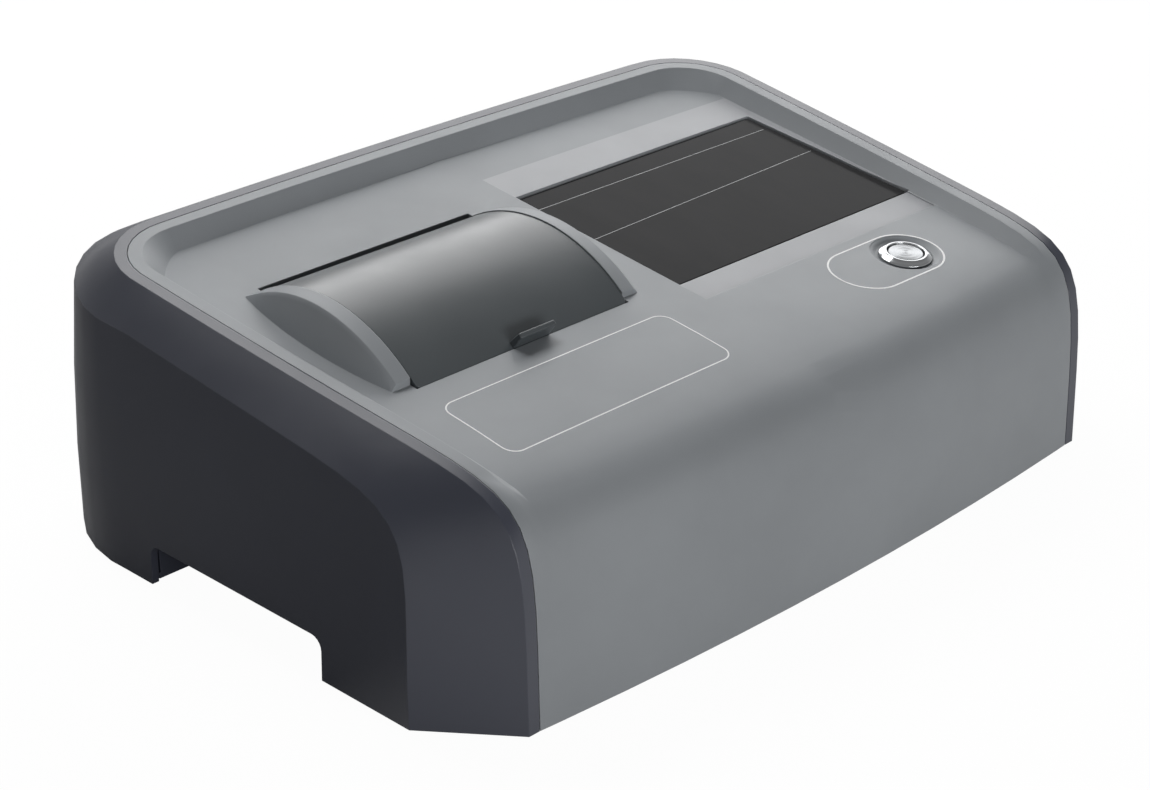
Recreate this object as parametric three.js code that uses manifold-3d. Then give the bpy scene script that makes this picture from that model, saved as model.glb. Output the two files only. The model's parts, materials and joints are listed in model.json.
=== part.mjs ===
// Benchtop colorimeter: a recessed light cover in a dark wrap-round shell, with an arched sample lid,
// a display, a push button and the optics and electronics that they serve. Millimetres, +Z up.
// x runs to the instrument's right, y to its back. The case is built with y = 0 at the front foot of the
// seam and z = 0 at the bottom edge of the shell, and one group then moves it to the centre of the floor.
import * as THREE from "three";
import { mergeVertices } from "three/addons/utils/BufferGeometryUtils.js";
import Module from "manifold-3d";

const wasm = await Module();
wasm.setup();

// Fits
const gap = 0.3; // between pieces that touch
const overrun = 5; // how far a cut runs past what it cuts

// The case's three leading sizes. Shares of depth, width and height below are shares of these.
const seamDepth = 234;
const seamFrontWidth = 300;
const rimFrontHeight = 86.4;

// Seam line between the light cover and the dark shell
const seamFlare = 14.75; // how far each side runs outwards from front to rear
const seamLean = 1.5; // of each side inwards, at the height of the rear rim
const seamCornerRadius = 29.3;
const seamSideBow = 1.5;
const seamRearBow = 1.9;
const rimRise = 25; // of the rim from front to rear
const frontSetback = 3; // how far the front leans back at the rim's height
const frontBow = 6.4;
const browDrop_share = 0.83; // reach of the front's curve into the top, down the front
const browRun_share = 0.2985; // and along the top

// Light cover
const coverWall = 3;
const lightStripWidth = 5.5;
const rimWallRun = 5.2;
const rimWallCornerRun = 3.4; // more of the same in the rear corners
const deckFrontDrop = 4.2; // of the deck below the rim
const deckRearDrop = 7.8;
const deckCrown = 0.6; // at the middle, over both deck heights
const stepStart_share = 0.486; // of the height: the rim's step starts here on the front and grows upwards
const stepFull_share = 0.145; // of the depth: from here back it has its whole height
const bowFade_share = 0.32;

// Dark shell
const shellWall = 3;
const darkStripWidth = 5;
const panelReach = 32; // of the side panel's front edge outside the seam, at the bottom
const panelFrontInset = 31.2;
const panelFlare = 12.6; // how far each panel runs outwards from front to rear
const panelTopDrop = 11.3;
const panelRearTopDrop = 8;
const panelLean = 14.9; // of each side, at the height of the rear rim
const rearOverhang = 25.8; // of the back behind the seam, at the bottom
const rearLean = 5;
const cornerStart_share = 0.8; // of the depth: side stations end here, ahead of the rear corners
const panelCornerRadius = 63.8; // at the bottom
const panelCornerShrink = 19.8; // of that radius, at the height of the rear rim
const bandSideBulge = 0.3;
const bandCornerBulge = 1.2;
const notchFront_share = 0.3232;
const notchRear_share = 0.7305;
const notchHeight = 17;
const notchRadius = 5;

// Base pan, feet and case screws
const panWall = 2.5;
const panRise = 1;
const panInset = 0.5;
const gripInset = 0.7; // of the pocket's roof, behind the edge of the pan
const gripDepth = 36; // of the hand-grip pockets, from the side face
const footRadius = 12;
const footDrop = 3;
const footInsetX = 30;
const footFront_share = 0.1706;
const footRear_share = 0.9;
const footPegRadius = 3;
const footBulbRadius = 3.8;
const footBulbHeight = 3;
const footChamfer = 1;
const postRadius = 4.2;
const post_share = 0.853; // of the seam's half width
const postFront_share = 0.2217;
const postRear_share = 0.8785;
const bossHeight = 22;
const bossFront_share = 0.2303;
const bossRear_share = 0.79;
const bossBury = 0.4; // how deep a boss is sunk into the wall that carries it
const screwRadius = 1.5;
const screwHeadRadius = 3;
const screwHeadHeight = 2;
const screwLength = 12;
const screwSlotWidth = 1;
const screwSlotDepth = 0.9;

// Sample compartment: lid, cheeks, pin and tub
const lidCentre_share = 0.4933; // of the half width, to the left
const lidOpening_share = 0.352;
const lidFront_share = 0.3778;
const lidRear_share = 0.7624;
const lidRise = 15;
const lidWall = 2.6;
const lidSideGap = 0.5;
const lidRearSlot = 2.4;
const lidCornerRound = 2; // of the panel's front corners, seen from above
const tabWidth = 17.6;
const tabReach = 7.5; // out of the lid's face
const tabRootThickness = 3.3;
const tabTipThickness = 2.2;
const tabSetback = 4.3; // of the tab's middle from the lid's front edge
const tabRound = 0.5;
const cheekTopWidth = 7.7;
const cheekProud = 0.4; // of the lid's face
const cheekRound = 1.4;
const cheekRound_shares = { least: 0.3 }; // at the cheek's ends
const cheekGrowth = 2.2; // height above the deck over which the rounding grows from there
const cheekTopFall = 0.6; // of the cheek's top towards its outer edge
const cheekSideRun_share = 0.33; // how far the cheek's side runs out for its height
const cheekFrontSetback = 3.4;
const cheekRearSetback = 0.2;
const pinRadius = 1.5;
const pinInsetY = 4.7; // of the pin's axis from the lid's rear edge
const pinDepth = 0.4; // of the pin's axis below the deck
const knuckleRadius = 3.3;
const knuckleWidth = 16;
const lugRadius = 2.6;
const tubWall = 3;
const tubReachX = 0.5; // of the opening over the tub's inside, on each side
const tubReachFront = 4.1;
const tubReachRear = 7.3;
const tubFloor_share = 0.5324; // of the height
const tubFlangeReach = 12;
const tubFlangeFrontReach = 6;
const tubFlangeThickness = 2.5;
const gasketThickness = 2;
const gasketInset = 3.5;
const gasketWidth = 2.5;
const tubScrewInset = 3.6;
const tubBossRadius = 3;
const tubScrewLength = 5;

// Optics
const beam_share = 0.7176; // of the height
const benchTop_share = 0.405; // of the height
const benchThickness = 5;
const benchLeft_share = 0.8; // of the half width
const benchRight_share = 0.4267;
const benchFront_share = 0.1023;
const benchMargin = 2;
const benchStandoffRadius = 5;
const benchStandoffInset = 10;
const benchWindow_shares = { width: 0.2, depth: 0.3 };
const holderWidth = 44;
const holderWall = 6;
const holderFloor = 4;
const holder_share = 0.324; // of the height
const wellWidth = 12.8;
const wellLength = 52;
const beamHoleRadius = 4.5;
const fingerScoopRadius = 11;
const scoopLift_share = 0.25; // of the scoop's radius
const barrelRadius = 9;
const barrelBore = 7.5;
const barrelSeat = 1;
const barrelFront_share = 0.2644;
const barrelNose = 3;
const lensThickness = 5;
const lensCrown = 1.6;
const lensSetback = 5;
const lampWidth = 40;
const lampFront_share = 0.1535;
const lampRear_share = 0.2985;
const lampHeight_share = 0.532;
const finCount = 6;
const finDepth = 10;
const finGap_share = 0.5; // of the fin pitch
const ledRadius = 6;
const ledThickness = 2.4;
const ledDomeRadius = 3;
const sphereBlockWidth = 44;
const sphereBlockDepth = 40;
const sphereSetback = 2.5; // behind the tub
const sphereRadius = 16;
const entryPortRadius = 7;
const exitPortRadius = 3;
const couplerRadius = 5;
const couplerLength = 8;
const spectroLength = 82;
const spectroDepth = 38;
const spectroHeight_share = 0.509;
const spectroWall = 3;
const spectroLidThickness = 2.5;
const gratingRadius = 11;
const gratingThickness = 5;
const gratingHollow = 1.2;
const slitThickness = 1.2;
const slitWidth = 1;
const slitHeight = 12;
const sensorThickness = 1.6;
const sensorChipThickness = 3;
const sensorChipLength = 30;
const sensorChipHeight = 8;
const sensorMargin = 9;

// Display. Its left and right are shares of the half width.
const glassLeft_share = 0.0373;
const glassRight_share = 0.9627;
const glassFront_share = 0.377;
const glassRear_share = 0.7675;
const glassThickness = 1.8;
const glassSink = 0.1;
const glassCornerRadius = 1.2;
const glassEdgeGap = 0.9;
const padReachLeft = 1.2; // of the pad past the glass
const padReachFront = 16.4;
const padReachRear = 20.8;
const padEdge = 0.4; // between the pad and the foot of the rim's wall
const padFrontSink = 0.6; // under the deck's edge height; at its rear the pad runs out into the crown
const frameFlange = 5;
const frameFlangeThickness = 2;
const frameBorder = 7;
const moduleThickness = 5;
const moduleInset = 4;
const bracketThickness = 1.5;
const bracketReach = 4;
const bracketWindow_share = 0.6;

// Push button
const button_shares = { x: 0.66, y: 0.2175 };
const buttonRingRadius = 11;
const buttonRingHeight = 2;
const buttonBarrelRadius = 9.3;
const buttonBarrelLength = 20;
const buttonCapRadius = 7.3;
const buttonCapHeight = 4;
const buttonCapCrown = 0.5;
const buttonTravel = 1.6;
const buttonStemRadius = 2.4;
const buttonWall = 1.6;
const dishFloorRadius = 11.5;
const dishRadius = 14.6;
const dishDepth = 1.5;
const nutAcross = 24;
const nutThickness = 3.4;
const nutDrop = 0.6; // below the cover's flat underside, because the deck starts to curve down here
const contactRadius = 8;
const contactHeight = 9;
const terminalSize = 1.2;
const terminalLength = 5;
const terminalSpread = 3.6;
const springRadius = 4.8;
const springWire = 0.45;
const springTurns = 5;

// Electronics and rear sockets. Places across are shares of the half width.
const boardThickness = 1.6;
const boardLeft_share = 0.4267;
const boardRight_share = 0.8;
const boardFront_share = 0.3923;
const boardHeight = 12;
const boardRearGap = 2;
const boardStandoffRadius = 3;
const boardStandoffInset = 6;
const chipSize = 16;
const chipHeight = 2;
const headerLength = 30;
const headerWidth = 6;
const headerHeight = 7;
const usbX_share = 0.56;
const usbWidth = 12;
const usbHeight = 11;
const usbDepth = 18;
const usbMouthWidth = 9;
const usbMouthHeight = 8;
const usbMouthDepth = 10;
const usbTongueWidth = 5.6;
const usbTongueHeight = 3.2;
const usbTongueSetback = 5;
const jackX_share = 0.7067;
const jackWidth = 10;
const jackHeight = 11;
const jackDepth = 14;
const jackBore = 3.2;
const jackBoreDepth = 9;
const jackPinRadius = 1;
const jackPinSetback = 4.8;
const socketFaceSink = 0.6;
const rockerX_share = 0.6333;
const rockerZ_share = 0.5556; // of the height
const rockerFrameWidth = 15;
const rockerFrameHeight = 21;
const rockerFrameLip = 1.5;
const rockerBodyWidth = 12.6;
const rockerBodyHeight = 18.6;
const rockerBodyDepth = 14;
const rockerRadius = 7.6;
const rockerWidth = 9.4;
const rockerProud = 2;
const rockerTilt_deg = 7;
const rockerClearance = 0.5;

// Derived from the driving dimensions
const halfWidth = seamFrontWidth / 2;
const quarterTurn = Math.PI / 2;
const rimRearHeight = rimFrontHeight + rimRise;
const deckFrontHeight = rimFrontHeight - deckFrontDrop;
const deckRearHeight = rimRearHeight - deckRearDrop;
const rimSlope = rimRise / seamDepth;
const deckSlope = (deckRearHeight - deckFrontHeight) / seamDepth;
const deckAngle = Math.atan(deckSlope);
const frontLean = frontSetback / rimFrontHeight;
const panTop = panRise + panWall;
const sideGrowth = panelFlare / (seamDepth - panelFrontInset);
const cornerCentreY = seamDepth - seamCornerRadius;
const cornerStartY = seamDepth * cornerStart_share;
const bowFadeDepth = seamDepth * bowFade_share;
const stepStartHeight = rimFrontHeight * stepStart_share;
const stepFullDepth = seamDepth * stepFull_share;
const notchFront = seamDepth * notchFront_share;
const notchRear = seamDepth * notchRear_share;
const panelFrontX = halfWidth + panelReach;
const rimZ = (y) => rimFrontHeight + rimSlope * y;
const deckZ = (y) => deckFrontHeight + deckSlope * y;
const underDeckZ = (y) => deckZ(y) - coverWall;
const bowX = (y) => 4 * seamSideBow * (y / seamDepth) * (1 - y / seamDepth);
const seamX = (y, z) => halfWidth + seamFlare * Math.min(y / seamDepth, 1) + bowX(y) - seamLean * (z / rimRearHeight);
const cornerEdgeX = seamX(cornerCentreY, rimZ(cornerCentreY));
const cornerCentreX = cornerEdgeX - seamCornerRadius;
const panelX = (y, z) => panelFrontX + sideGrowth * (y - panelFrontInset) - panelLean * (z / rimRearHeight) ** 2;
const panelRadius = (z) => panelCornerRadius - panelCornerShrink * (z / rimRearHeight) ** 2;
const panelFarX = panelX(seamDepth, 0) + overrun;
const rearBowAt = (x) => seamRearBow * (1 - Math.min(1, Math.abs(x / cornerCentreX)) ** 2);
const backY = (x, z) => seamDepth + rearOverhang + rearBowAt(x) - rearLean * (z / rimRearHeight) ** 2;
const lidCentreX = -halfWidth * lidCentre_share;
const lidOpeningWidth = seamFrontWidth * lidOpening_share;
const halfOpening = lidOpeningWidth / 2;
const lidFrontY = seamDepth * lidFront_share;
const lidRearY = seamDepth * lidRear_share;
const tubHalf = halfOpening - tubReachX + tubWall;
const tubFrontY = lidFrontY - tubReachFront;
const tubRearY = lidRearY + tubReachRear;
const tubFloorHeight = rimFrontHeight * tubFloor_share;
const beamHeight = rimFrontHeight * beam_share;
const benchTop = rimFrontHeight * benchTop_share;
const opticsTop = benchTop + gap;
const benchLeft = -halfWidth * benchLeft_share;
const benchRight = halfWidth * benchRight_share;
const benchFront = seamDepth * benchFront_share;
const holderHeight = rimFrontHeight * holder_share;
const barrelFrontY = seamDepth * barrelFront_share;
const lampFrontY = seamDepth * lampFront_share;
const lampRearY = seamDepth * lampRear_share;
const lampHeight = rimFrontHeight * lampHeight_share;
const sphereFrontY = tubRearY + sphereSetback;
const sphereRearY = sphereFrontY + sphereBlockDepth;
const sphereCentreY = (sphereFrontY + sphereRearY) / 2;
const benchRear = sphereRearY + benchMargin;
const spectroFrontY = sphereCentreY - spectroDepth / 2;
const spectroRearY = sphereCentreY + spectroDepth / 2;
const spectroHeight = rimFrontHeight * spectroHeight_share;
const glassLeft = halfWidth * glassLeft_share;
const glassRight = halfWidth * glassRight_share;
const glassFront = seamDepth * glassFront_share;
const glassRear = seamDepth * glassRear_share;
const buttonX = halfWidth * button_shares.x;
const buttonY = seamDepth * button_shares.y;
const boardLeft = halfWidth * boardLeft_share;
const boardRight = halfWidth * boardRight_share;
const boardFront = seamDepth * boardFront_share;
const usbX = halfWidth * usbX_share;
const jackX = halfWidth * jackX_share;
const rockerX = halfWidth * rockerX_share;
const rockerZ = rimFrontHeight * rockerZ_share;
const smooth = (t) => {
  const s = Math.min(1, Math.max(0, t));
  return s * s * (3 - 2 * s);
};

// Solids: closed three.js geometry turned into manifold solids and back.

function solidOf(geometry) {
  const bare = geometry.index ? geometry.toNonIndexed() : geometry.clone();
  bare.deleteAttribute("normal");
  bare.deleteAttribute("uv");
  const merged = mergeVertices(bare, 1e-4);
  const kept = [];
  const index = merged.index.array;
  for (let i = 0; i < index.length; i += 3) {
    const [a, b, c] = [index[i], index[i + 1], index[i + 2]];
    if (a !== b && b !== c && a !== c) kept.push(a, b, c);
  }
  const mesh = new wasm.Mesh({
    numProp: 3,
    vertProperties: merged.attributes.position.array,
    triVerts: new Uint32Array(kept),
  });
  return new wasm.Manifold(mesh);
}

function geometryOf(solid) {
  const mesh = solid.getMesh();
  const geometry = new THREE.BufferGeometry();
  geometry.setAttribute("position", new THREE.BufferAttribute(new Float32Array(mesh.vertProperties), 3));
  geometry.setIndex(new THREE.BufferAttribute(new Uint32Array(mesh.triVerts), 1));
  const flat = geometry.toNonIndexed();
  flat.computeVertexNormals();
  return flat;
}

// A box between two corners.
function block([x0, x1], [y0, y1], [z0, z1]) {
  const geometry = new THREE.BoxGeometry(x1 - x0, y1 - y0, z1 - z0);
  geometry.translate((x0 + x1) / 2, (y0 + y1) / 2, (z0 + z1) / 2);
  return solidOf(geometry);
}

// A profile of [radius, height] turned round the z axis.
function turned(profile, segments = 32) {
  const points = profile.map(([r, z]) => new THREE.Vector2(r, z));
  const geometry = new THREE.LatheGeometry(points, segments);
  geometry.rotateX(Math.PI / 2);
  return solidOf(geometry);
}

function rod(radius, z0, z1, segments = 32) {
  return turned([[0, z0], [radius, z0], [radius, z1], [0, z1]], segments);
}

// A rod from one place to another along x (0) or y (1).
function rodAlong(axis, radius, from, to, [a, b], segments = 32) {
  const upright = rod(radius, from, to, segments);
  if (axis === 0) return upright.rotate([0, 90, 0]).translate([0, a, b]);
  return upright.rotate([-90, 0, 0]).translate([a, 0, b]);
}

// A plan outline of [x, y] points raised from z0 to z1.
function raised(outline, z0, z1) {
  const shape = new THREE.Shape(outline.map(([x, y]) => new THREE.Vector2(x, y)));
  const geometry = new THREE.ExtrudeGeometry(shape, { depth: z1 - z0, bevelEnabled: false });
  geometry.translate(0, 0, z0);
  return solidOf(geometry);
}

// A side-view outline of [y, z] points drawn out along x.
function drawn(outline, x0, x1) {
  const shape = new THREE.Shape(outline.map(([y, z]) => new THREE.Vector2(y, z)));
  const geometry = new THREE.ExtrudeGeometry(shape, { depth: x1 - x0, bevelEnabled: false });
  const turn = new THREE.Matrix4().set(0, 0, 1, x0, 1, 0, 0, 0, 0, 1, 0, 0, 0, 0, 0, 1);
  geometry.applyMatrix4(turn);
  return solidOf(geometry);
}

// A rectangle with rounded corners as an outline of points.
function roundedOutline(x0, x1, y0, y1, radius, steps = 5) {
  const points = [];
  const centres = [
    [x1 - radius, y0 + radius],
    [x1 - radius, y1 - radius],
    [x0 + radius, y1 - radius],
    [x0 + radius, y0 + radius],
  ];
  centres.forEach(([cx, cy], corner) => {
    for (let i = 0; i <= steps; i += 1) {
      const angle = quarterTurn * (corner - 1 + i / steps);
      points.push([cx + radius * Math.cos(angle), cy + radius * Math.sin(angle)]);
    }
  });
  return points;
}

// A convex outline moved inwards by a distance.
function insetOutline(points, distance) {
  const count = points.length;
  return points.map(([x, y], i) => {
    const [ax, ay] = points[(i + count - 1) % count];
    const [bx, by] = points[(i + 1) % count];
    const before = new THREE.Vector2(x - ax, y - ay).normalize();
    const after = new THREE.Vector2(bx - x, by - y).normalize();
    const mitre = new THREE.Vector2(-before.y - after.y, before.x + after.x).normalize();
    const spread = mitre.x * -before.y + mitre.y * before.x;
    return [x + (mitre.x * distance) / spread, y + (mitre.y * distance) / spread];
  });
}

// A sheet of rows of points, given a wall inwards, closed along its edges. The foot points stay on z = 0.
function walled(rows, wall) {
  const position = [];
  for (const row of rows) for (const point of row) position.push(...point);
  const columns = rows[0].length;
  const index = [];
  for (let r = 0; r + 1 < rows.length; r += 1) {
    for (let c = 0; c + 1 < columns; c += 1) {
      const a = r * columns + c;
      index.push(a, a + 1, a + columns, a + 1, a + columns + 1, a + columns);
    }
  }
  const sheet = new THREE.BufferGeometry();
  sheet.setAttribute("position", new THREE.BufferAttribute(new Float32Array(position), 3));
  sheet.setIndex(index);
  const merged = mergeVertices(sheet, 1e-3);
  merged.computeVertexNormals();
  const { position: outer, normal } = merged.attributes;
  const faces = [];
  for (let i = 0; i < merged.index.count; i += 3) {
    const face = [merged.index.getX(i), merged.index.getX(i + 1), merged.index.getX(i + 2)];
    if (face[0] !== face[1] && face[1] !== face[2] && face[0] !== face[2]) faces.push(face);
  }
  const point = (i) => new THREE.Vector3().fromBufferAttribute(outer, i);
  const innerPoint = (i) => {
    const p = point(i);
    const onFloor = Math.abs(p.z) < 1e-3;
    const n = new THREE.Vector3().fromBufferAttribute(normal, i);
    if (onFloor) n.setZ(0).normalize();
    p.addScaledVector(n, -wall);
    return p;
  };
  const used = new Map();
  for (const [a, b, c] of faces) {
    for (const [s, e] of [[a, b], [b, c], [c, a]]) used.set(`${s}_${e}`, [s, e]);
  }
  const out = [];
  for (const [a, b, c] of faces) {
    out.push(point(a), point(b), point(c));
    out.push(innerPoint(c), innerPoint(b), innerPoint(a));
  }
  for (const [s, e] of used.values()) {
    if (used.has(`${e}_${s}`)) continue;
    out.push(point(e), point(s), innerPoint(s));
    out.push(point(e), innerPoint(s), innerPoint(e));
  }
  const closed = new THREE.BufferGeometry();
  closed.setFromPoints(out);
  return solidOf(closed);
}

// A solid through a row of sections, each a ring of points, anticlockwise as seen from before the first one.
function lofted(sections) {
  const out = [];
  const vector = ([x, y, z]) => new THREE.Vector3(x, y, z);
  const rings = sections.map((ring) => ring.map(vector));
  const sides = rings[0].length;
  for (let r = 0; r + 1 < rings.length; r += 1) {
    for (let i = 0; i < sides; i += 1) {
      const n = (i + 1) % sides;
      out.push(rings[r][i], rings[r + 1][n], rings[r][n], rings[r][i], rings[r + 1][i], rings[r + 1][n]);
    }
  }
  const first = rings[0];
  const last = rings[rings.length - 1];
  for (let i = 1; i + 1 < sides; i += 1) {
    out.push(first[0], first[i], first[i + 1]);
    out.push(last[0], last[i + 1], last[i]);
  }
  return solidOf(new THREE.BufferGeometry().setFromPoints(out));
}

// Side-view curve of the case, as [y, z, ny, nz]: up the front, round the brow and along the top.
// inset moves the front back, drop moves the top down. It ends ahead of the rear corners.
function caseProfile(inset, drop) {
  const top = (y) => rimZ(y) - drop;
  const cornerZ = (top(0) + rimSlope * inset) / (1 - rimSlope * frontLean);
  const corner = new THREE.Vector2(inset + frontLean * cornerZ, cornerZ);
  const up = new THREE.Vector2(frontLean, 1).normalize();
  const back = new THREE.Vector2(1, rimSlope).normalize();
  const start = corner.clone().addScaledVector(up, -browDrop_share * rimFrontHeight);
  const end = corner.clone().addScaledVector(back, browRun_share * seamDepth);
  const foot = new THREE.Vector2(inset, 0);
  const rear = new THREE.Vector2(cornerStartY, top(cornerStartY));
  const points = [];
  const normalOf = (direction) => [-direction.y, direction.x];
  for (let i = 0; i < counts.front; i += 1) {
    const p = foot.clone().lerp(start, i / counts.front);
    points.push([p.x, p.y, ...normalOf(up)]);
  }
  const bend = new THREE.CubicBezierCurve(start, corner, corner, end);
  for (let i = 0; i < counts.brow; i += 1) {
    const p = bend.getPoint(i / counts.brow);
    points.push([p.x, p.y, ...normalOf(bend.getTangent(i / counts.brow))]);
  }
  for (let i = 0; i <= counts.top; i += 1) {
    const p = end.clone().lerp(rear, i / counts.top);
    points.push([p.x, p.y, ...normalOf(back)]);
  }
  return points;
}

const counts = { front: 2, brow: 11, top: 4, corner: 8, back: 4, deck: 5, panel: 3 };

// The rear corner and half the back as [x, y] points on the left: a quarter circle, then the bowed back.
// edgeX and edgeY are where the side and the back would meet, fold draws the corner in at its middle.
function rearPath(edgeX, edgeYAt, radius, fold = 0) {
  const centreX = -edgeX + radius;
  const points = [];
  for (let i = 0; i <= counts.corner; i += 1) {
    const angle = (quarterTurn * i) / counts.corner;
    const reach = radius - fold * Math.sin(2 * angle);
    points.push([centreX - reach * Math.cos(angle), edgeYAt(centreX) - radius + reach * Math.sin(angle)]);
  }
  for (let i = 1; i <= counts.back; i += 1) {
    const x = centreX * (1 - i / counts.back);
    points.push([x, edgeYAt(x)]);
  }
  return points;
}

// A curve that follows the seam all the way round at an offset outwards, on the rim's surface.
function rimCurve(offset) {
  const left = caseProfile(0, 0).map(([y, z]) => [-seamX(y, z) - offset, y, z]);
  const rear = rearPath(cornerEdgeX + offset, (x) => seamDepth + offset + rearBowAt(x), seamCornerRadius + offset);
  return [...left, ...rear.map(([x, y]) => [x, y, rimZ(y)])];
}

// The left half of a curve, closed by its mirror image on the right.
function mirrored(half) {
  const right = half.slice(0, -1).reverse().map(([x, y, z]) => [-x, y, z]);
  return [...half, ...right];
}

// Front bow of the cover: how far forward a point moves.
function bowForward(x, y, edgeX) {
  return frontBow * (1 - (x / edgeX) ** 2) * (1 - smooth(y / bowFadeDepth));
}

// Main cover: rim strip, wall down to the deck, deck and waterfall front.

function coverSheet() {
  const profile = caseProfile(0, 0);
  const foot = lightStripWidth + rimWallRun;
  const edge = rimCurve(-gap / 2);
  const strip = rimCurve(-lightStripWidth);
  const deckEdge = profile.map(([y, z, ny, nz]) => {
    const onFront = smooth((z - stepStartHeight) / (rimFrontHeight - stepStartHeight));
    const share = 0.5 * onFront + 0.5 * smooth(y / stepFullDepth) * onFront;
    const step = ((rimZ(y) - deckZ(y)) / Math.hypot(1, rimSlope)) * share;
    return [-seamX(y, z) + foot, y - ny * step, z - nz * step];
  });
  const edgeY = (x) => seamDepth - foot + rearBowAt(x);
  const rear = rearPath(cornerEdgeX - foot, edgeY, seamCornerRadius - foot, rimWallCornerRun);
  for (const [x, y] of rear) deckEdge.push([x, y, deckZ(y)]);
  const sideCount = profile.length;
  const rearY = deckEdge[deckEdge.length - 1][1];
  const startY = deckEdge[sideCount - 1][1];
  const rearCount = deckEdge.length - sideCount;
  const columns = [edge, strip, deckEdge];
  for (let c = 1; c <= counts.deck; c += 1) {
    const t = c / counts.deck;
    columns.push(
      deckEdge.map(([x, y, z], i) => {
        const crown = deckCrown * t * (2 - t);
        if (i < sideCount) return [x * (1 - t), y, z + crown * smooth(y / bowFadeDepth)];
        const centreY = startY + ((rearY - startY) * (i - sideCount + 1)) / rearCount;
        const py = y + (centreY - y) * t;
        return [x * (1 - t), py, deckZ(py) + crown];
      }),
    );
  }
  const bowed = columns.map((column, c) =>
    column.map(([x, y, z], i) => {
      if (i >= sideCount || c === 0) return [x, y, z];
      return [x, y - bowForward(x, y, seamX(y, z)), z];
    }),
  );
  const rows = bowed[0].map((_, i) => {
    const half = bowed.map((column) => column[i]);
    return mirrored(half);
  });
  return rows;
}

// Arc of the lid's side view through its rear and front edges, from rear to front.
const chordRear = new THREE.Vector2(lidRearY, deckZ(lidRearY));
const chordFront = new THREE.Vector2(lidFrontY, deckZ(lidFrontY));
const chordLength = chordRear.distanceTo(chordFront);
const lidRadius = (chordLength ** 2 / 4 + lidRise ** 2) / (2 * lidRise);
const chordMiddle = chordRear.clone().add(chordFront).multiplyScalar(1 / 2);
const chordUp = new THREE.Vector2(-Math.sin(deckAngle), Math.cos(deckAngle));
const lidCentre = chordMiddle.clone().addScaledVector(chordUp, lidRise - lidRadius);
const lidHalfAngle = Math.asin(chordLength / 2 / lidRadius);
const lidStart = deckAngle + Math.PI / 2 - lidHalfAngle;

// Points [y, z] on a circle round the lid's centre, between two angles counted from the back over the top.
function lidArc(radius, from, to, steps) {
  const points = [];
  for (let i = 0; i <= steps; i += 1) {
    const angle = from + ((to - from) * i) / steps;
    points.push([lidCentre.x + radius * Math.cos(angle), lidCentre.y + radius * Math.sin(angle)]);
  }
  return points;
}

const arcSteps = 20;
const pinY = lidRearY - pinInsetY;
const pinZ = deckZ(pinY) - pinDepth;

// A cheek beside the lid, drawn through sections that follow the lid's arc. Its side runs out as it rises.
function cheek(side) {
  const radius = lidRadius + cheekProud;
  const angleAt = (y) => Math.acos((y - lidCentre.x) / radius);
  const arc = lidArc(radius, angleAt(lidFrontY + cheekFrontSetback), angleAt(lidRearY - cheekRearSetback), arcSteps);
  const top = halfOpening + cheekTopWidth;
  const sections = arc.map(([y, z]) => {
    const grown = smooth((z - deckZ(y)) / cheekGrowth);
    const edgeZ = z - cheekTopFall * grown;
    const round = cheekRound * Math.max(grown, cheekRound_shares.least);
    const foot = top + cheekSideRun_share * Math.max(gap, edgeZ - deckZ(y));
    const low = deckZ(y) - coverWall / 2;
    return [
      [halfOpening, y, low],
      [foot, y, low],
      [foot, y, Math.min(deckZ(y), edgeZ - round)],
      [top, y, edgeZ - round],
      [top - round, y, edgeZ],
      [halfOpening, y, z],
    ];
  });
  const lug = rodAlong(0, lugRadius, halfOpening, top - cheekRound, [pinY, pinZ], 20);
  let made = lofted(sections).add(lug);
  if (side < 0) made = made.mirror([1, 0, 0]);
  return made.translate([lidCentreX, 0, 0]);
}

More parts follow.
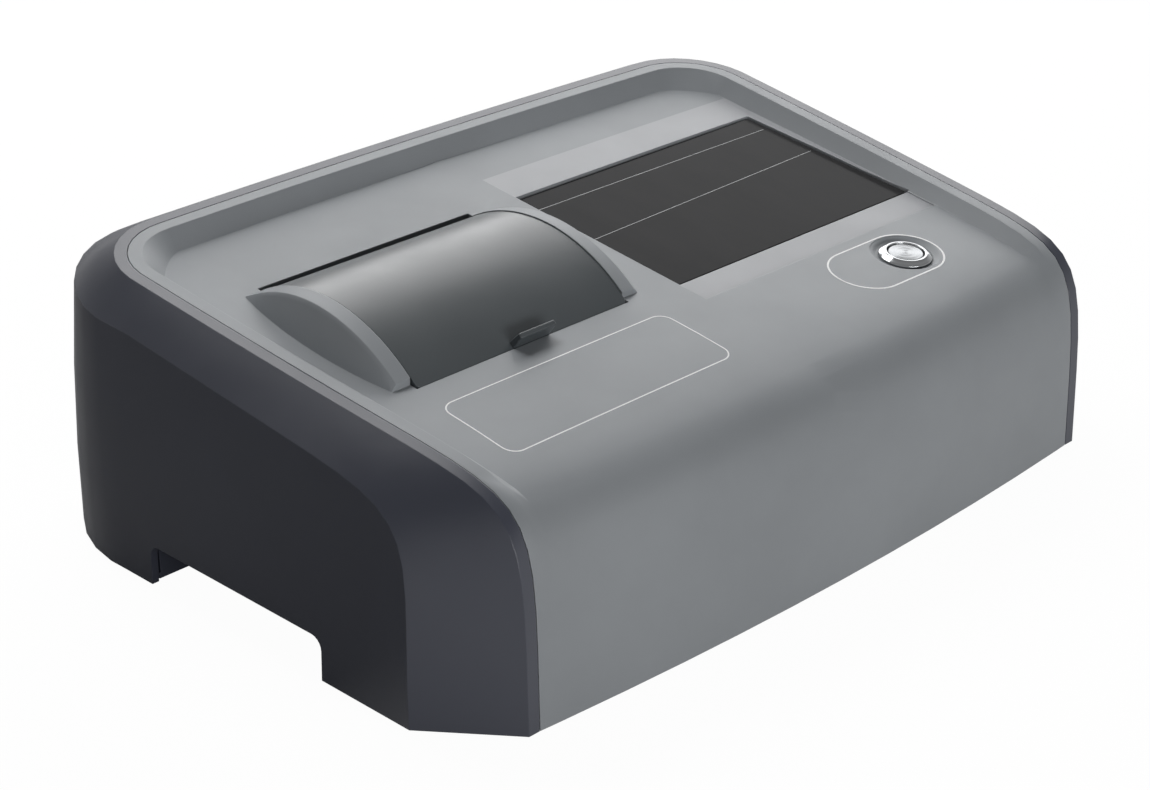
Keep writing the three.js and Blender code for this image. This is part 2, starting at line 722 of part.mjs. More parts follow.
function mainCover() {
  let cover = walled(coverSheet(), coverWall);
  // Compartment opening, cheeks and the bores of the hinge pin
  const openingX = [lidCentreX - halfOpening, lidCentreX + halfOpening];
  const openingY = [lidFrontY - gap, lidRearY + lidRearSlot];
  cover = cover.subtract(block(openingX, openingY, [deckFrontHeight - coverWall - overrun, rimRearHeight]));
  cover = cover.add(cheek(1)).add(cheek(-1));
  const pinReach = halfOpening + cheekTopWidth - coverWall / 2;
  const bore = rodAlong(0, pinRadius + gap, lidCentreX - pinReach, lidCentreX + pinReach, [pinY, pinZ], 16);
  cover = cover.subtract(bore);
  // Flat pad for the display, and the window through it
  const padTop = rimRearHeight;
  const padLeft = glassLeft - padReachLeft;
  const padFront = glassFront - padReachFront;
  const padRear = glassRear + padReachRear;
  const padRight = (y) => seamX(y, rimZ(y)) - lightStripWidth - rimWallRun - padEdge;
  const padSide = [
    [padFront, deckZ(padFront) - padFrontSink],
    [padRear, deckZ(padRear) + deckCrown],
    [padRear, padTop],
    [padFront, padTop],
  ];
  const padPlan = [
    [padLeft, padFront],
    [padRight(padFront), padFront],
    [padRight(padRear), padRear],
    [padLeft, padRear],
  ];
  cover = cover.subtract(drawn(padSide, padLeft, padRight(padRear)).intersect(raised(padPlan, 0, padTop)));
  const windowX = [glassLeft - glassEdgeGap, glassRight + glassEdgeGap];
  const windowY = [glassFront - glassEdgeGap, glassRear + glassEdgeGap];
  cover = cover.subtract(block(windowX, windowY, [deckFrontHeight - overrun, rimRearHeight]));
  // Dished hole of the button
  const dishProfile = [[0, -dishDepth]];
  const dishSteps = 4;
  for (let i = 0; i <= dishSteps; i += 1) {
    const t = i / dishSteps;
    dishProfile.push([dishFloorRadius + (dishRadius - dishFloorRadius) * t, -dishDepth * (1 - smooth(t))]);
  }
  dishProfile.push([dishRadius, overrun], [0, overrun]);
  const tilt = THREE.MathUtils.radToDeg(deckAngle);
  const place = (solid) => solid.rotate([tilt, 0, 0]).translate([buttonX, buttonY, deckZ(buttonY)]);
  cover = cover.subtract(place(turned(dishProfile, 40)));
  cover = cover.subtract(place(rod(buttonBarrelRadius + gap, -overrun * 2, overrun, 40)));
  // Posts down to the base pan
  for (const [x, y] of postPlaces) {
    const post = rod(postRadius, panTop + gap, deckZ(y) - coverWall / 2, 20);
    const pilot = rod(screwRadius + gap, panTop, panTop + screwLength + gap, 12);
    cover = cover.add(post.subtract(pilot).translate([x, y, 0]));
  }
  // Bosses for the screws of the sample tub
  for (const [x, y] of tubScrewPlaces) {
    const foot = underDeckZ(y) - gasketThickness - gap;
    const boss = rod(tubBossRadius, foot, deckZ(y) - coverWall / 2, 16);
    const pilot = rod(screwRadius + gap, foot - overrun, foot + tubScrewLength - tubFlangeThickness, 12);
    cover = cover.add(boss.subtract(pilot).translate([x, y, 0]));
  }
  return cover;
}

// Dark shell: strip, chamfered band, leaning sides and back, in rings from the seam down to the foot.

function shellSheet() {
  const seam = rimCurve(gap / 2);
  const strip = rimCurve(darkStripWidth);
  const panelProfile = caseProfile(panelFrontInset, panelTopDrop);
  const sideCount = panelProfile.length;
  // A ring of the panels, at a share of the height of their top edge
  const ringAt = (share) => {
    const side = panelProfile.map(([y, z]) => [-panelX(y, z * share), y, z * share]);
    const startZ = panelProfile[sideCount - 1][1];
    const endZ = rimZ(seamDepth) - panelRearTopDrop;
    const middleZ = ((startZ + endZ) / 2) * share;
    const edgeY = (x) => backY(x, middleZ);
    const radius = panelRadius(middleZ);
    const path = rearPath(panelX(edgeY(0) - radius, middleZ), edgeY, radius);
    return [...side, ...path.map(([x, y], i) => [x, y, (startZ + (endZ - startZ) * smooth((i + 1) / counts.corner)) * share])];
  };
  const panelEdge = ringAt(1);
  const rings = [seam, strip];
  const bandSteps = 4;
  for (let i = 1; i < bandSteps; i += 1) {
    const t = i / bandSteps;
    rings.push(
      strip.map(([x, y, z], k) => {
        const [px, py, pz] = panelEdge[k];
        const round = 1 - Math.abs(2 * smooth((k - sideCount) / counts.corner) - 1);
        const bulge = 4 * (bandSideBulge + (bandCornerBulge - bandSideBulge) * round) * t * (1 - t);
        const out = new THREE.Vector3(px - x, py - y, pz - z).normalize();
        const level = new THREE.Vector2(out.x, out.y).normalize();
        const lift = Math.hypot(out.x, out.y);
        const onTop = smooth(z / rimFrontHeight);
        return [
          x + (px - x) * t - level.x * out.z * bulge * onTop,
          y + (py - y) * t - level.y * out.z * bulge * onTop,
          z + (pz - z) * t + lift * bulge * onTop,
        ];
      }),
    );
  }
  rings.push(panelEdge);
  for (let i = 1; i <= counts.panel; i += 1) rings.push(ringAt(1 - i / counts.panel));
  return rings.map(mirrored);
}

// The outline of the whole case on the floor, anticlockwise from the front left.
function footprint() {
  const front = [];
  const steps = 16;
  for (let i = 0; i <= steps; i += 1) {
    const x = halfWidth * ((2 * i) / steps - 1);
    front.push([x, -bowForward(x, 0, halfWidth)]);
  }
  const right = [[panelX(panelFrontInset, 0), panelFrontInset]];
  const edgeY = (x) => backY(x, 0);
  const cornerY = edgeY(0) - panelCornerRadius;
  const rear = rearPath(panelX(cornerY, 0), edgeY, panelCornerRadius);
  const rightRear = rear.map(([x, y]) => [-x, y]);
  const leftRear = rear.slice(0, -1).reverse();
  const left = right.map(([x, y]) => [-x, y]).reverse();
  const footX = halfWidth + darkStripWidth;
  return [...front, [footX, 0], ...right, ...rightRear, ...leftRear, ...left, [-footX, 0]];
}

const postPlaces = [];
const bossPlaces = [];
for (const side of [-1, 1]) {
  for (const share of [postFront_share, postRear_share]) {
    postPlaces.push([side * halfWidth * post_share, seamDepth * share]);
  }
  for (const share of [bossFront_share, bossRear_share]) {
    const y = seamDepth * share;
    bossPlaces.push([side * (panelX(y, 0) - shellWall - postRadius + bossBury), y]);
  }
}

function outerShell() {
  let shell = walled(shellSheet(), shellWall);
  // Hand notch with rounded upper corners, right through both sides
  const notch = roundedOutline(notchFront, notchRear, -notchHeight, notchHeight, notchRadius);
  shell = shell.subtract(drawn(notch, -panelFarX, -halfWidth));
  shell = shell.subtract(drawn(notch, halfWidth, panelFarX));
  // Sockets and switch in the back
  const wallY = [seamDepth + rearOverhang - rearLean - shellWall * 3, seamDepth + rearOverhang + overrun];
  const mouth = (x, z, width, height) =>
    block([x - width / 2 - gap, x + width / 2 + gap], wallY, [z - height / 2 - gap, z + height / 2 + gap]);
  shell = shell.subtract(mouth(usbX, socketZ(usbHeight), usbWidth, usbHeight));
  shell = shell.subtract(mouth(jackX, socketZ(jackHeight), jackWidth, jackHeight));
  shell = shell.subtract(mouth(rockerX, rockerZ, rockerBodyWidth, rockerBodyHeight));
  for (const [x, y] of bossPlaces) {
    const boss = rod(postRadius, panTop + gap, panTop + gap + bossHeight, 20);
    const pilot = rod(screwRadius + gap, panTop, panTop + screwLength + gap, 12);
    shell = shell.add(boss.subtract(pilot).translate([x, y, 0]));
  }
  return shell;
}

// Base pan with a raised hand-grip pocket behind each notch.

const screwPlaces = [...postPlaces, ...bossPlaces];
const footPlaces = [];
for (const side of [-1, 1]) {
  for (const share of [footFront_share, footRear_share]) {
    footPlaces.push([side * (panelFrontX - footInsetX), seamDepth * share]);
  }
}

function basePan() {
  const inset = Math.max(shellWall, coverWall) + panInset;
  const outline = insetOutline(footprint(), inset);
  let pan = raised(outline, panRise, panTop);
  const area = raised(insetOutline(footprint(), inset + gripInset), panRise, notchHeight + panWall * 2);
  const innerX = panelX(notchFront, 0) - gripDepth;
  const gripTop = notchHeight + gap + panWall;
  for (const side of [-1, 1]) {
    const span = (a, b) => (side > 0 ? [a, b] : [-b, -a]);
    const far = panelFarX;
    const outside = block(span(innerX - panWall, far), [notchFront - panWall, notchRear + panWall], [panRise, gripTop]);
    const inside = block(span(innerX, far), [notchFront, notchRear], [panRise - overrun, gripTop - panWall]);
    pan = pan.add(outside.intersect(area)).subtract(inside);
  }
  for (const [x, y] of screwPlaces) {
    pan = pan.subtract(rod(screwRadius + gap, panRise - overrun, panTop + overrun, 12).translate([x, y, 0]));
  }
  for (const [x, y] of footPlaces) {
    pan = pan.subtract(rod(footPegRadius + gap, panRise - overrun, panTop + overrun, 16).translate([x, y, 0]));
  }
  return pan;
}

function foot() {
  const top = panRise - gap;
  const bulb = panTop + gap;
  return turned([
    [0, -footDrop],
    [footRadius - footChamfer, -footDrop],
    [footRadius, -footDrop + footChamfer],
    [footRadius, top],
    [footPegRadius, top],
    [footPegRadius, bulb],
    [footBulbRadius, bulb],
    [footPegRadius / 2, bulb + footBulbHeight],
    [0, bulb + footBulbHeight],
  ], 20);
}

// A pan-head screw that points up, with its head's upper face at z = 0.
function screw(length) {
  const body = turned([
    [0, -screwHeadHeight],
    [screwHeadRadius * 0.8, -screwHeadHeight],
    [screwHeadRadius, 0],
    [screwRadius, 0],
    [screwRadius, length],
    [0, length],
  ], 8);
  const half = screwSlotWidth / 2;
  const reach = screwHeadRadius;
  const slot = block([-reach, reach], [-half, half], [-screwHeadHeight - overrun, screwSlotDepth - screwHeadHeight]);
  return body.subtract(slot);
}

// Lid: arched panel with a pull tab and two knuckles on the pin.

function compartmentLid() {
  const half = halfOpening - lidSideGap;
  const end = lidStart + 2 * lidHalfAngle;
  const outer = lidArc(lidRadius, lidStart, end, arcSteps);
  const inner = lidArc(lidRadius - lidWall, lidStart, end, arcSteps).reverse();
  let lid = drawn([...outer, ...inner], -half, half);
  // Knuckles, cut off level with the panel's outer face
  const keep = drawn(lidArc(lidRadius, 0, Math.PI, 60), -half, half);
  for (const side of [-1, 1]) {
    const from = side > 0 ? half - knuckleWidth : -half;
    const knuckle = rodAlong(0, knuckleRadius, from, from + knuckleWidth, [pinY, pinZ], 24);
    lid = lid.add(knuckle.intersect(keep));
  }
  lid = lid.subtract(rodAlong(0, pinRadius + gap, -halfOpening, halfOpening, [pinY, pinZ], 16));
  // Front corners rounded in plan
  const plan = roundedOutline(-half, half, lidFrontY, lidRearY + overrun, lidCornerRound, 3);
  lid = lid.intersect(raised(plan, 0, rimRearHeight + lidRise));
  // Pull tab: a short plank that stands square out of the lid's face
  const tabAngle = end - tabSetback / lidRadius;
  const tipRadius = lidRadius + tabReach;
  const rootRadius = lidRadius - lidWall / 4;
  const tabSection = [
    [rootRadius, -tabRootThickness / 2],
    [tipRadius - tabRound, -tabTipThickness / 2],
    [tipRadius, tabRound - tabTipThickness / 2],
    [tipRadius, tabTipThickness / 2 - tabRound],
    [tipRadius - tabRound, tabTipThickness / 2],
    [rootRadius, tabRootThickness / 2],
  ];
  const out = new THREE.Vector2(Math.cos(tabAngle), Math.sin(tabAngle));
  const tabSide = tabSection.map(([r, w]) => [lidCentre.x + r * out.x - w * out.y, lidCentre.y + r * out.y + w * out.x]);
  lid = lid.add(drawn(tabSide, -tabWidth / 2, tabWidth / 2));
  return lid.translate([lidCentreX, 0, 0]);
}

function hingePin() {
  const reach = halfOpening + cheekTopWidth - coverWall / 2 - gap;
  return rodAlong(0, pinRadius, lidCentreX - reach, lidCentreX + reach, [pinY, pinZ], 16);
}

// Sample tub under the opening, its light gasket and the cuvette holder in it.

const flangeHalf = tubHalf + tubFlangeReach;
const flangeFront = tubFrontY - tubFlangeFrontReach;
const flangeRear = tubRearY + tubFlangeFrontReach;
const flangeTop = (y) => underDeckZ(y) - gasketThickness - 2 * gap;
const tubScrewPlaces = [];
for (const side of [-1, 1]) {
  for (const y of [flangeFront + tubScrewInset, flangeRear - tubScrewInset]) {
    tubScrewPlaces.push([lidCentreX + side * (flangeHalf - tubScrewInset), y]);
  }
}

function sampleTub() {
  const slab = (y0, y1, under, half) =>
    drawn(
      [
        [y0, under(y0)],
        [y1, under(y1)],
        [y1, flangeTop(y1)],
        [y0, flangeTop(y0)],
      ],
      -half,
      half,
    );
  const floor = () => tubFloorHeight - tubWall;
  let tub = slab(tubFrontY, tubRearY, floor, tubHalf);
  tub = tub.add(slab(flangeFront, flangeRear, (y) => flangeTop(y) - tubFlangeThickness, flangeHalf));
  const cavityX = [-tubHalf + tubWall, tubHalf - tubWall];
  const cavityY = [tubFrontY + tubWall, tubRearY - tubWall];
  tub = tub.subtract(block(cavityX, cavityY, [tubFloorHeight, rimRearHeight]));
  tub = tub.translate([lidCentreX, 0, 0]);
  const frontWall = [tubFrontY - overrun, tubFrontY + tubWall + overrun];
  tub = tub.subtract(rodAlong(1, barrelRadius + gap, frontWall[0], frontWall[1], [lidCentreX, beamHeight], 20));
  const rearWall = [tubRearY - tubWall - overrun, tubRearY + overrun];
  tub = tub.subtract(rodAlong(1, entryPortRadius, rearWall[0], rearWall[1], [lidCentreX, beamHeight], 24));
  for (const [x, y] of tubScrewPlaces) {
    const hole = rod(screwRadius + gap, beamHeight, rimRearHeight, 12);
    tub = tub.subtract(hole.translate([x, y, 0]));
  }
  return tub;
}

function tubGasket() {
  const low = (y) => flangeTop(y) + gap;
  const high = (y) => low(y) + gasketThickness;
  const ring = (inset) => {
    const [y0, y1] = [flangeFront + inset, flangeRear - inset];
    const half = flangeHalf - inset - tubScrewInset - screwHeadRadius + gasketInset;
    return drawn([[y0, low(y0)], [y1, low(y1)], [y1, high(y1)], [y0, high(y0)]], -half, half);
  };
  const hole = (inset) => {
    const half = flangeHalf - inset - tubScrewInset - screwHeadRadius + gasketInset;
    return block([-half, half], [flangeFront + inset, flangeRear - inset], [beamHeight, rimRearHeight + lidRise]);
  };
  const made = ring(gasketInset).subtract(hole(gasketInset + gasketWidth)).translate([lidCentreX, 0, 0]);
  return tubScrewPlaces.reduce((solid, [x, y]) => {
    const clear = rod(tubBossRadius + gap, beamHeight, rimRearHeight, 16);
    return solid.subtract(clear.translate([x, y, 0]));
  }, made);
}

function cuvetteHolder() {
  const base = tubFloorHeight + gap;
  const top = base + holderHeight;
  const middleY = (tubFrontY + tubRearY) / 2;
  const holderFrontY = middleY - wellLength / 2 - holderWall;
  const holderRearY = middleY + wellLength / 2 + holderWall;
  let holder = block([-holderWidth / 2, holderWidth / 2], [holderFrontY, holderRearY], [base, top]);
  const well = block(
    [-wellWidth / 2, wellWidth / 2],
    [middleY - wellLength / 2, middleY + wellLength / 2],
    [base + holderFloor, top + overrun],
  );
  holder = holder.subtract(well);
  holder = holder.subtract(rodAlong(1, beamHoleRadius, holderFrontY - overrun, holderRearY + overrun, [0, beamHeight], 20));
  const scoop = rodAlong(0, fingerScoopRadius, -holderWidth, holderWidth, [middleY, top + fingerScoopRadius * scoopLift_share], 28);
  return holder.subtract(scoop).translate([lidCentreX, 0, 0]);
}

// Optics on the bench.

function opticalBench() {
  let bench = block([benchLeft, benchRight], [benchFront, benchRear], [benchTop - benchThickness, benchTop]);
  const windowY = (benchFront + benchRear) / 2;
  const halfDepth = (seamDepth * benchWindow_shares.depth) / 2;
  const width = seamFrontWidth * benchWindow_shares.width;
  const edges = [lidCentreX - width / 2, benchRight - benchStandoffInset - width];
  for (const x of edges) {
    const hole = block([x, x + width], [windowY - halfDepth, windowY + halfDepth], [0, benchTop + overrun]);
    bench = bench.subtract(hole);
  }
  return bench;
}

const benchFeet = [];
for (const x of [benchLeft + benchStandoffInset, benchRight - benchStandoffInset]) {
  for (const y of [benchFront + benchStandoffInset, benchRear - benchStandoffInset]) benchFeet.push([x, y]);
}

function lampHousing() {
  const half = lampWidth / 2;
  let housing = block([-half, half], [lampFrontY, lampRearY], [opticsTop, opticsTop + lampHeight]);
  const pitch = lampWidth / finCount;
  for (let i = 0; i < finCount; i += 1) {
    const x = -half + pitch * (i + (1 - finGap_share) / 2);
    const slot = block(
      [x, x + pitch * finGap_share],
      [lampFrontY - overrun, lampFrontY + finDepth],
      [opticsTop + coverWall, opticsTop + lampHeight + overrun],
    );
    housing = housing.subtract(slot);
  }
  const bore = rodAlong(1, barrelRadius + gap, lampFrontY + finDepth + ledThickness * 2, lampRearY + overrun, [0, beamHeight], 28);
  return housing.subtract(bore).translate([lidCentreX, 0, 0]);
}

function lampLed() {
  const backFace = lampFrontY + finDepth + ledThickness * 2 + gap;
  const dome = [];
  const steps = 4;
  for (let i = 0; i <= steps; i += 1) {
    const angle = ((Math.PI / 2) * i) / steps;
    dome.push([ledDomeRadius * Math.cos(angle), ledThickness + ledDomeRadius * Math.sin(angle)]);
  }
  const led = turned([[0, 0], [ledRadius, 0], [ledRadius, ledThickness], ...dome], 16);
  return led.rotate([-90, 0, 0]).translate([lidCentreX, backFace, beamHeight]);
}

const barrelRearY = tubFrontY + tubWall + barrelNose;

function lensBarrel() {
  const seat = barrelRearY - lensSetback;
  const profile = [
    [barrelBore, barrelFrontY],
    [barrelRadius, barrelFrontY],
    [barrelRadius, barrelRearY],
    [barrelBore, barrelRearY],
    [barrelBore, seat],
    [barrelBore - barrelSeat, seat],
    [barrelBore - barrelSeat, seat - barrelSeat],
    [barrelBore, seat - barrelSeat],
    [barrelBore, barrelFrontY],
  ];
  return turned(profile, 20).rotate([-90, 0, 0]).translate([lidCentreX, 0, beamHeight]);
}

function sourceLens() {
  const rim = (lensThickness - 2 * lensCrown) / 2;
  const radius = barrelBore - gap;
  const profile = [];
  const steps = 5;
  for (let i = 0; i <= steps; i += 1) {
    const t = i / steps;
    profile.push([radius * t, -rim - lensCrown * (1 - t * t)]);
  }
  for (let i = steps; i >= 0; i -= 1) {
    const t = i / steps;
    profile.push([radius * t, rim + lensCrown * (1 - t * t)]);
  }
  const y = barrelRearY - lensSetback - barrelSeat - gap - rim - lensCrown;
  return turned(profile, 16).rotate([-90, 0, 0]).translate([lidCentreX, y, beamHeight]);
}

// Half of the sphere block, split on the plane through the beam. side -1 is the left half.
function sphereHalf(side) {
  const half = sphereBlockWidth / 2;
  const top = 2 * beamHeight - opticsTop;
  const span = side > 0 ? [gap / 2, half] : [-half, -gap / 2];
  let made = block(span, [sphereFrontY, sphereRearY], [opticsTop, top]);
  const ball = solidOf(new THREE.SphereGeometry(sphereRadius, 16, 10)).translate([0, sphereCentreY, beamHeight]);
  made = made.subtract(ball);
  made = made.subtract(rodAlong(1, entryPortRadius, sphereFrontY - overrun, sphereCentreY, [0, beamHeight], 24));
  if (side > 0) made = made.subtract(rodAlong(0, exitPortRadius, 0, half + overrun, [sphereCentreY, beamHeight], 16));
  return made.translate([lidCentreX, 0, 0]);
}

const couplerStart = lidCentreX + sphereBlockWidth / 2 + gap;
const spectroStart = couplerStart + couplerLength + gap;

function portCoupler() {
  const outer = rodAlong(0, couplerRadius, couplerStart, couplerStart + couplerLength, [sphereCentreY, beamHeight], 20);
  const bore = rodAlong(0, exitPortRadius, couplerStart - overrun, couplerStart + couplerLength + overrun, [
    sphereCentreY,
    beamHeight,
  ], 16);
  return outer.subtract(bore);
}

function spectrometerHousing() {
  const x = [spectroStart, spectroStart + spectroLength];
  const y = [spectroFrontY, spectroRearY];
  const z = [opticsTop, opticsTop + spectroHeight];
  let housing = block(x, y, z);
  const inner = block(
    [x[0] + spectroWall, x[1] - spectroWall],
    [y[0] + spectroWall, y[1] - spectroWall],
    [z[0] + spectroWall, z[1] + overrun],
  );
  housing = housing.subtract(inner);
  const port = rodAlong(0, exitPortRadius, x[0] - overrun, x[0] + spectroWall + overrun, [sphereCentreY, beamHeight], 16);
  return housing.subtract(port);
}

function spectrometerCover() {
  const z = opticsTop + spectroHeight + gap;
  return block([spectroStart, spectroStart + spectroLength], [spectroFrontY, spectroRearY], [z, z + spectroLidThickness]);
}

function slitPlate() {
  const x = spectroStart + spectroWall + gap;
  const y = [spectroFrontY + spectroWall + gap, spectroRearY - spectroWall - gap];
  const z = [opticsTop + spectroWall + gap, opticsTop + spectroHeight - spectroWall];
  const plate = block([x, x + slitThickness], y, z);
  const slit = block(
    [x - overrun, x + slitThickness + overrun],
    [sphereCentreY - slitWidth / 2, sphereCentreY + slitWidth / 2],
    [beamHeight - slitHeight / 2, beamHeight + slitHeight / 2],
  );
  return plate.subtract(slit);
}

function concaveGrating() {
  const end = spectroStart + spectroLength - spectroWall - gap;
  const profile = [[0, 0], [gratingRadius, 0], [gratingRadius, gratingThickness]];
  const steps = 4;
  for (let i = steps - 1; i >= 0; i -= 1) {
    const t = i / steps;
    profile.push([gratingRadius * t, gratingThickness - gratingHollow * (1 - t * t)]);
  }
  return turned(profile, 16).rotate([0, -90, 0]).translate([end, sphereCentreY, beamHeight]);
}

function sensorBoard() {
  const y = spectroFrontY + spectroWall + gap;
  const middle = spectroStart + spectroLength / 2;
  const half = sensorChipLength / 2 + sensorMargin;
  const z = [opticsTop + spectroWall + gap, opticsTop + spectroHeight - spectroWall];
  const board = block([middle - half, middle + half], [y, y + sensorThickness], z);
  const chip = block(
    [middle - sensorChipLength / 2, middle + sensorChipLength / 2],
    [y + sensorThickness / 2, y + sensorThickness + sensorChipThickness],
    [beamHeight - sensorChipHeight / 2, beamHeight + sensorChipHeight / 2],
  );
  return board.add(chip);
}

// Display, in a frame that lies along the deck: x across, y up the slope, z out of the deck.

const slopeLength = (y) => y * Math.hypot(1, deckSlope);

function displayGlass() {
  const outline = roundedOutline(glassLeft, glassRight, slopeLength(glassFront), slopeLength(glassRear), glassCornerRadius, 3);
  return raised(outline, -padFrontSink - glassSink - glassThickness, -padFrontSink - glassSink);
}

const frameTop = -padFrontSink - glassSink - glassThickness - gap;
const flangeLevel = -coverWall - gap;

// The black frame: a shelf under the glass inside the window, and a flange below the cover.
function displayFrame() {
  const clear = glassEdgeGap - gap;
  const window = [glassLeft - clear, glassRight + clear, slopeLength(glassFront) - clear, slopeLength(glassRear) + clear];
  const outline = roundedOutline(...window, glassCornerRadius, 3);
  const shelf = raised(outline, flangeLevel - frameFlangeThickness, frameTop);
  const wide = roundedOutline(
    window[0] - frameFlange, window[1] + frameFlange, window[2] - frameFlange, window[3] + frameFlange, frameFlange, 3,
  );
  const flange = raised(wide, flangeLevel - frameFlangeThickness, flangeLevel);
  const lcd = roundedOutline(
    window[0] + frameBorder, window[1] - frameBorder, window[2] + frameBorder, window[3] - frameBorder, glassCornerRadius, 3,
  );
  return shelf.add(flange).subtract(raised(lcd, flangeLevel - frameFlangeThickness - overrun, overrun));
}

const moduleTop = flangeLevel - frameFlangeThickness - gap;

function displayModule() {
  return block(
    [glassLeft + moduleInset, glassRight - moduleInset],
    [slopeLength(glassFront) + moduleInset, slopeLength(glassRear) - moduleInset],
    [moduleTop - moduleThickness, moduleTop],
  );
}

function displayBracket() {
  const x = [glassLeft - bracketReach, glassRight + bracketReach];
  const y = [slopeLength(glassFront) + moduleInset - bracketReach, slopeLength(glassRear) - moduleInset + bracketReach];
  const top = moduleTop - moduleThickness - gap;
  const plate = block(x, y, [top - bracketThickness, top]);
  const halfX = ((x[1] - x[0]) / 2) * bracketWindow_share;
  const halfY = ((y[1] - y[0]) / 2) * bracketWindow_share;
  const middleX = (x[0] + x[1]) / 2;
  const middleY = (y[0] + y[1]) / 2;
  const hole = block([middleX - halfX, middleX + halfX], [middleY - halfY, middleY + halfY], [top - overrun, top + overrun]);
  const legs = [];
  for (const side of [0, 1]) {
    const inside = side === 0 ? glassLeft + moduleInset - gap : glassRight - moduleInset + gap;
    const span = side === 0 ? [x[0], inside] : [inside, x[1]];
    legs.push(block(span, y, [top - bracketThickness, moduleTop]));
  }
  return legs.reduce((solid, leg) => solid.add(leg), plate.subtract(hole));
}

// Push button, in a frame of its own with z out of the deck.

const ringFloor = -dishDepth + gap;
const ringTop = ringFloor + buttonRingHeight;
const capTop = ringTop - gap;
const boreFloor = -buttonBarrelLength + buttonWall;

function buttonBezel() {
  const capBore = buttonCapRadius + gap;
  return turned([
    [capBore, boreFloor],
    [buttonStemRadius + gap, boreFloor],
    [buttonStemRadius + gap, -buttonBarrelLength],
    [buttonBarrelRadius, -buttonBarrelLength],
    [buttonBarrelRadius, ringFloor],
    [buttonRingRadius, ringFloor],
    [buttonRingRadius, ringFloor + buttonRingHeight / 3],
    [buttonRingRadius - buttonRingHeight, ringTop],
    [capBore, ringTop],
    [capBore, boreFloor],
  ], 30);
}

function buttonCap() {
  const crown = [];
  const steps = 3;
  for (let i = 0; i <= steps; i += 1) {
    const t = 1 - i / steps;
    crown.push([buttonCapRadius * t, capTop - buttonCapCrown * t * t]);
  }
  return turned([
    [0, -buttonBarrelLength + buttonTravel],
    [buttonStemRadius, -buttonBarrelLength + buttonTravel],
    [buttonStemRadius, capTop - buttonCapHeight],
    [buttonCapRadius, capTop - buttonCapHeight],
    ...crown,
  ], 30);
}

function buttonNut() {
  const corner = nutAcross / Math.sqrt(3);
  const top = -coverWall - gap - nutDrop;
  const hex = rod(corner, top - nutThickness, top, 6);
  return hex.subtract(rod(buttonBarrelRadius + gap, top - nutThickness - overrun, top + overrun, 32));
}

function buttonContactBlock() {
  const top = -buttonBarrelLength - gap;
  let made = rod(contactRadius, top - contactHeight, top, 24);
  for (const sx of [-1, 1]) {
    for (const sy of [-1, 1]) {
      const pin = block(
        [sx * terminalSpread - terminalSize / 2, sx * terminalSpread + terminalSize / 2],
        [sy * terminalSpread - terminalSize / 2, sy * terminalSpread + terminalSize / 2],
        [top - contactHeight - terminalLength, top - contactHeight / 2],
      );
      made = made.add(pin);
    }
  }
  return made;
}

// Helical spring round the cap's stem, as one tube.
function buttonSpring() {
  const low = boreFloor + gap + springWire;
  const high = capTop - buttonCapHeight - gap - springWire;
  const perTurn = 10;
  const steps = springTurns * perTurn;
  const sides = 5;
  const points = [];
  for (let i = 0; i <= steps; i += 1) {
    const angle = (2 * Math.PI * i) / perTurn;
    points.push(new THREE.Vector3(springRadius * Math.cos(angle), springRadius * Math.sin(angle), low + ((high - low) * i) / steps));
  }
  const ringAt = (i) => {
    const angle = (2 * Math.PI * i) / perTurn;
    const outward = new THREE.Vector3(Math.cos(angle), Math.sin(angle), 0);
    const ring = [];
    for (let s = 0; s < sides; s += 1) {
      const turn = (2 * Math.PI * s) / sides;
      const p = points[i].clone().addScaledVector(outward, springWire * Math.cos(turn));
      ring.push(p.add(new THREE.Vector3(0, 0, springWire * Math.sin(turn))));
    }
    return ring;
  };
  const rings = points.map((_, i) => ringAt(i));
  const out = [];
  for (let i = 0; i < steps; i += 1) {
    for (let s = 0; s < sides; s += 1) {
      const n = (s + 1) % sides;
      out.push(rings[i][s], rings[i + 1][n], rings[i][n], rings[i][s], rings[i + 1][s], rings[i + 1][n]);
    }
  }
  for (let s = 1; s + 1 < sides; s += 1) {
    out.push(rings[0][0], rings[0][s], rings[0][s + 1]);
    out.push(rings[steps][0], rings[steps][s + 1], rings[steps][s]);
  }
  return solidOf(new THREE.BufferGeometry().setFromPoints(out));
}

// Main board, sockets and power switch.

const boardBase = panTop + boardHeight;
const boardTop = boardBase + boardThickness;
function socketZ(height) {
  return boardTop + gap + height / 2;
}
const rearInside = seamDepth + rearOverhang - rearLean * (boardTop / rimRearHeight) ** 2 - shellWall;
const boardRear = rearInside - boardRearGap;

function mainBoard() {
  let board = block([boardLeft, boardRight], [boardFront, boardRear], [boardBase, boardTop]);
  const middleX = (boardLeft + boardRight) / 2;
  const chipY = boardFront + chipSize * 2;
  for (const step of [0, 2]) {
    const y = chipY + step * chipSize;
    const chip = block([middleX - chipSize / 2, middleX + chipSize / 2], [y, y + chipSize], [boardBase, boardTop + chipHeight]);
    board = board.add(chip);
  }
  const header = block(
    [boardLeft + headerWidth, boardLeft + 2 * headerWidth],
    [chipY, chipY + headerLength],
    [boardBase, boardTop + headerHeight],
  );
  return board.add(header);
}

const boardFeet = [];
for (const x of [boardLeft + boardStandoffInset, boardRight - boardStandoffInset]) {
  for (const y of [boardFront + boardStandoffInset, boardRear - usbDepth - boardStandoffInset]) boardFeet.push([x, y]);
}

// The outer face of the back wall at a place.
const faceY = (x, z) => backY(x, z) - socketFaceSink;

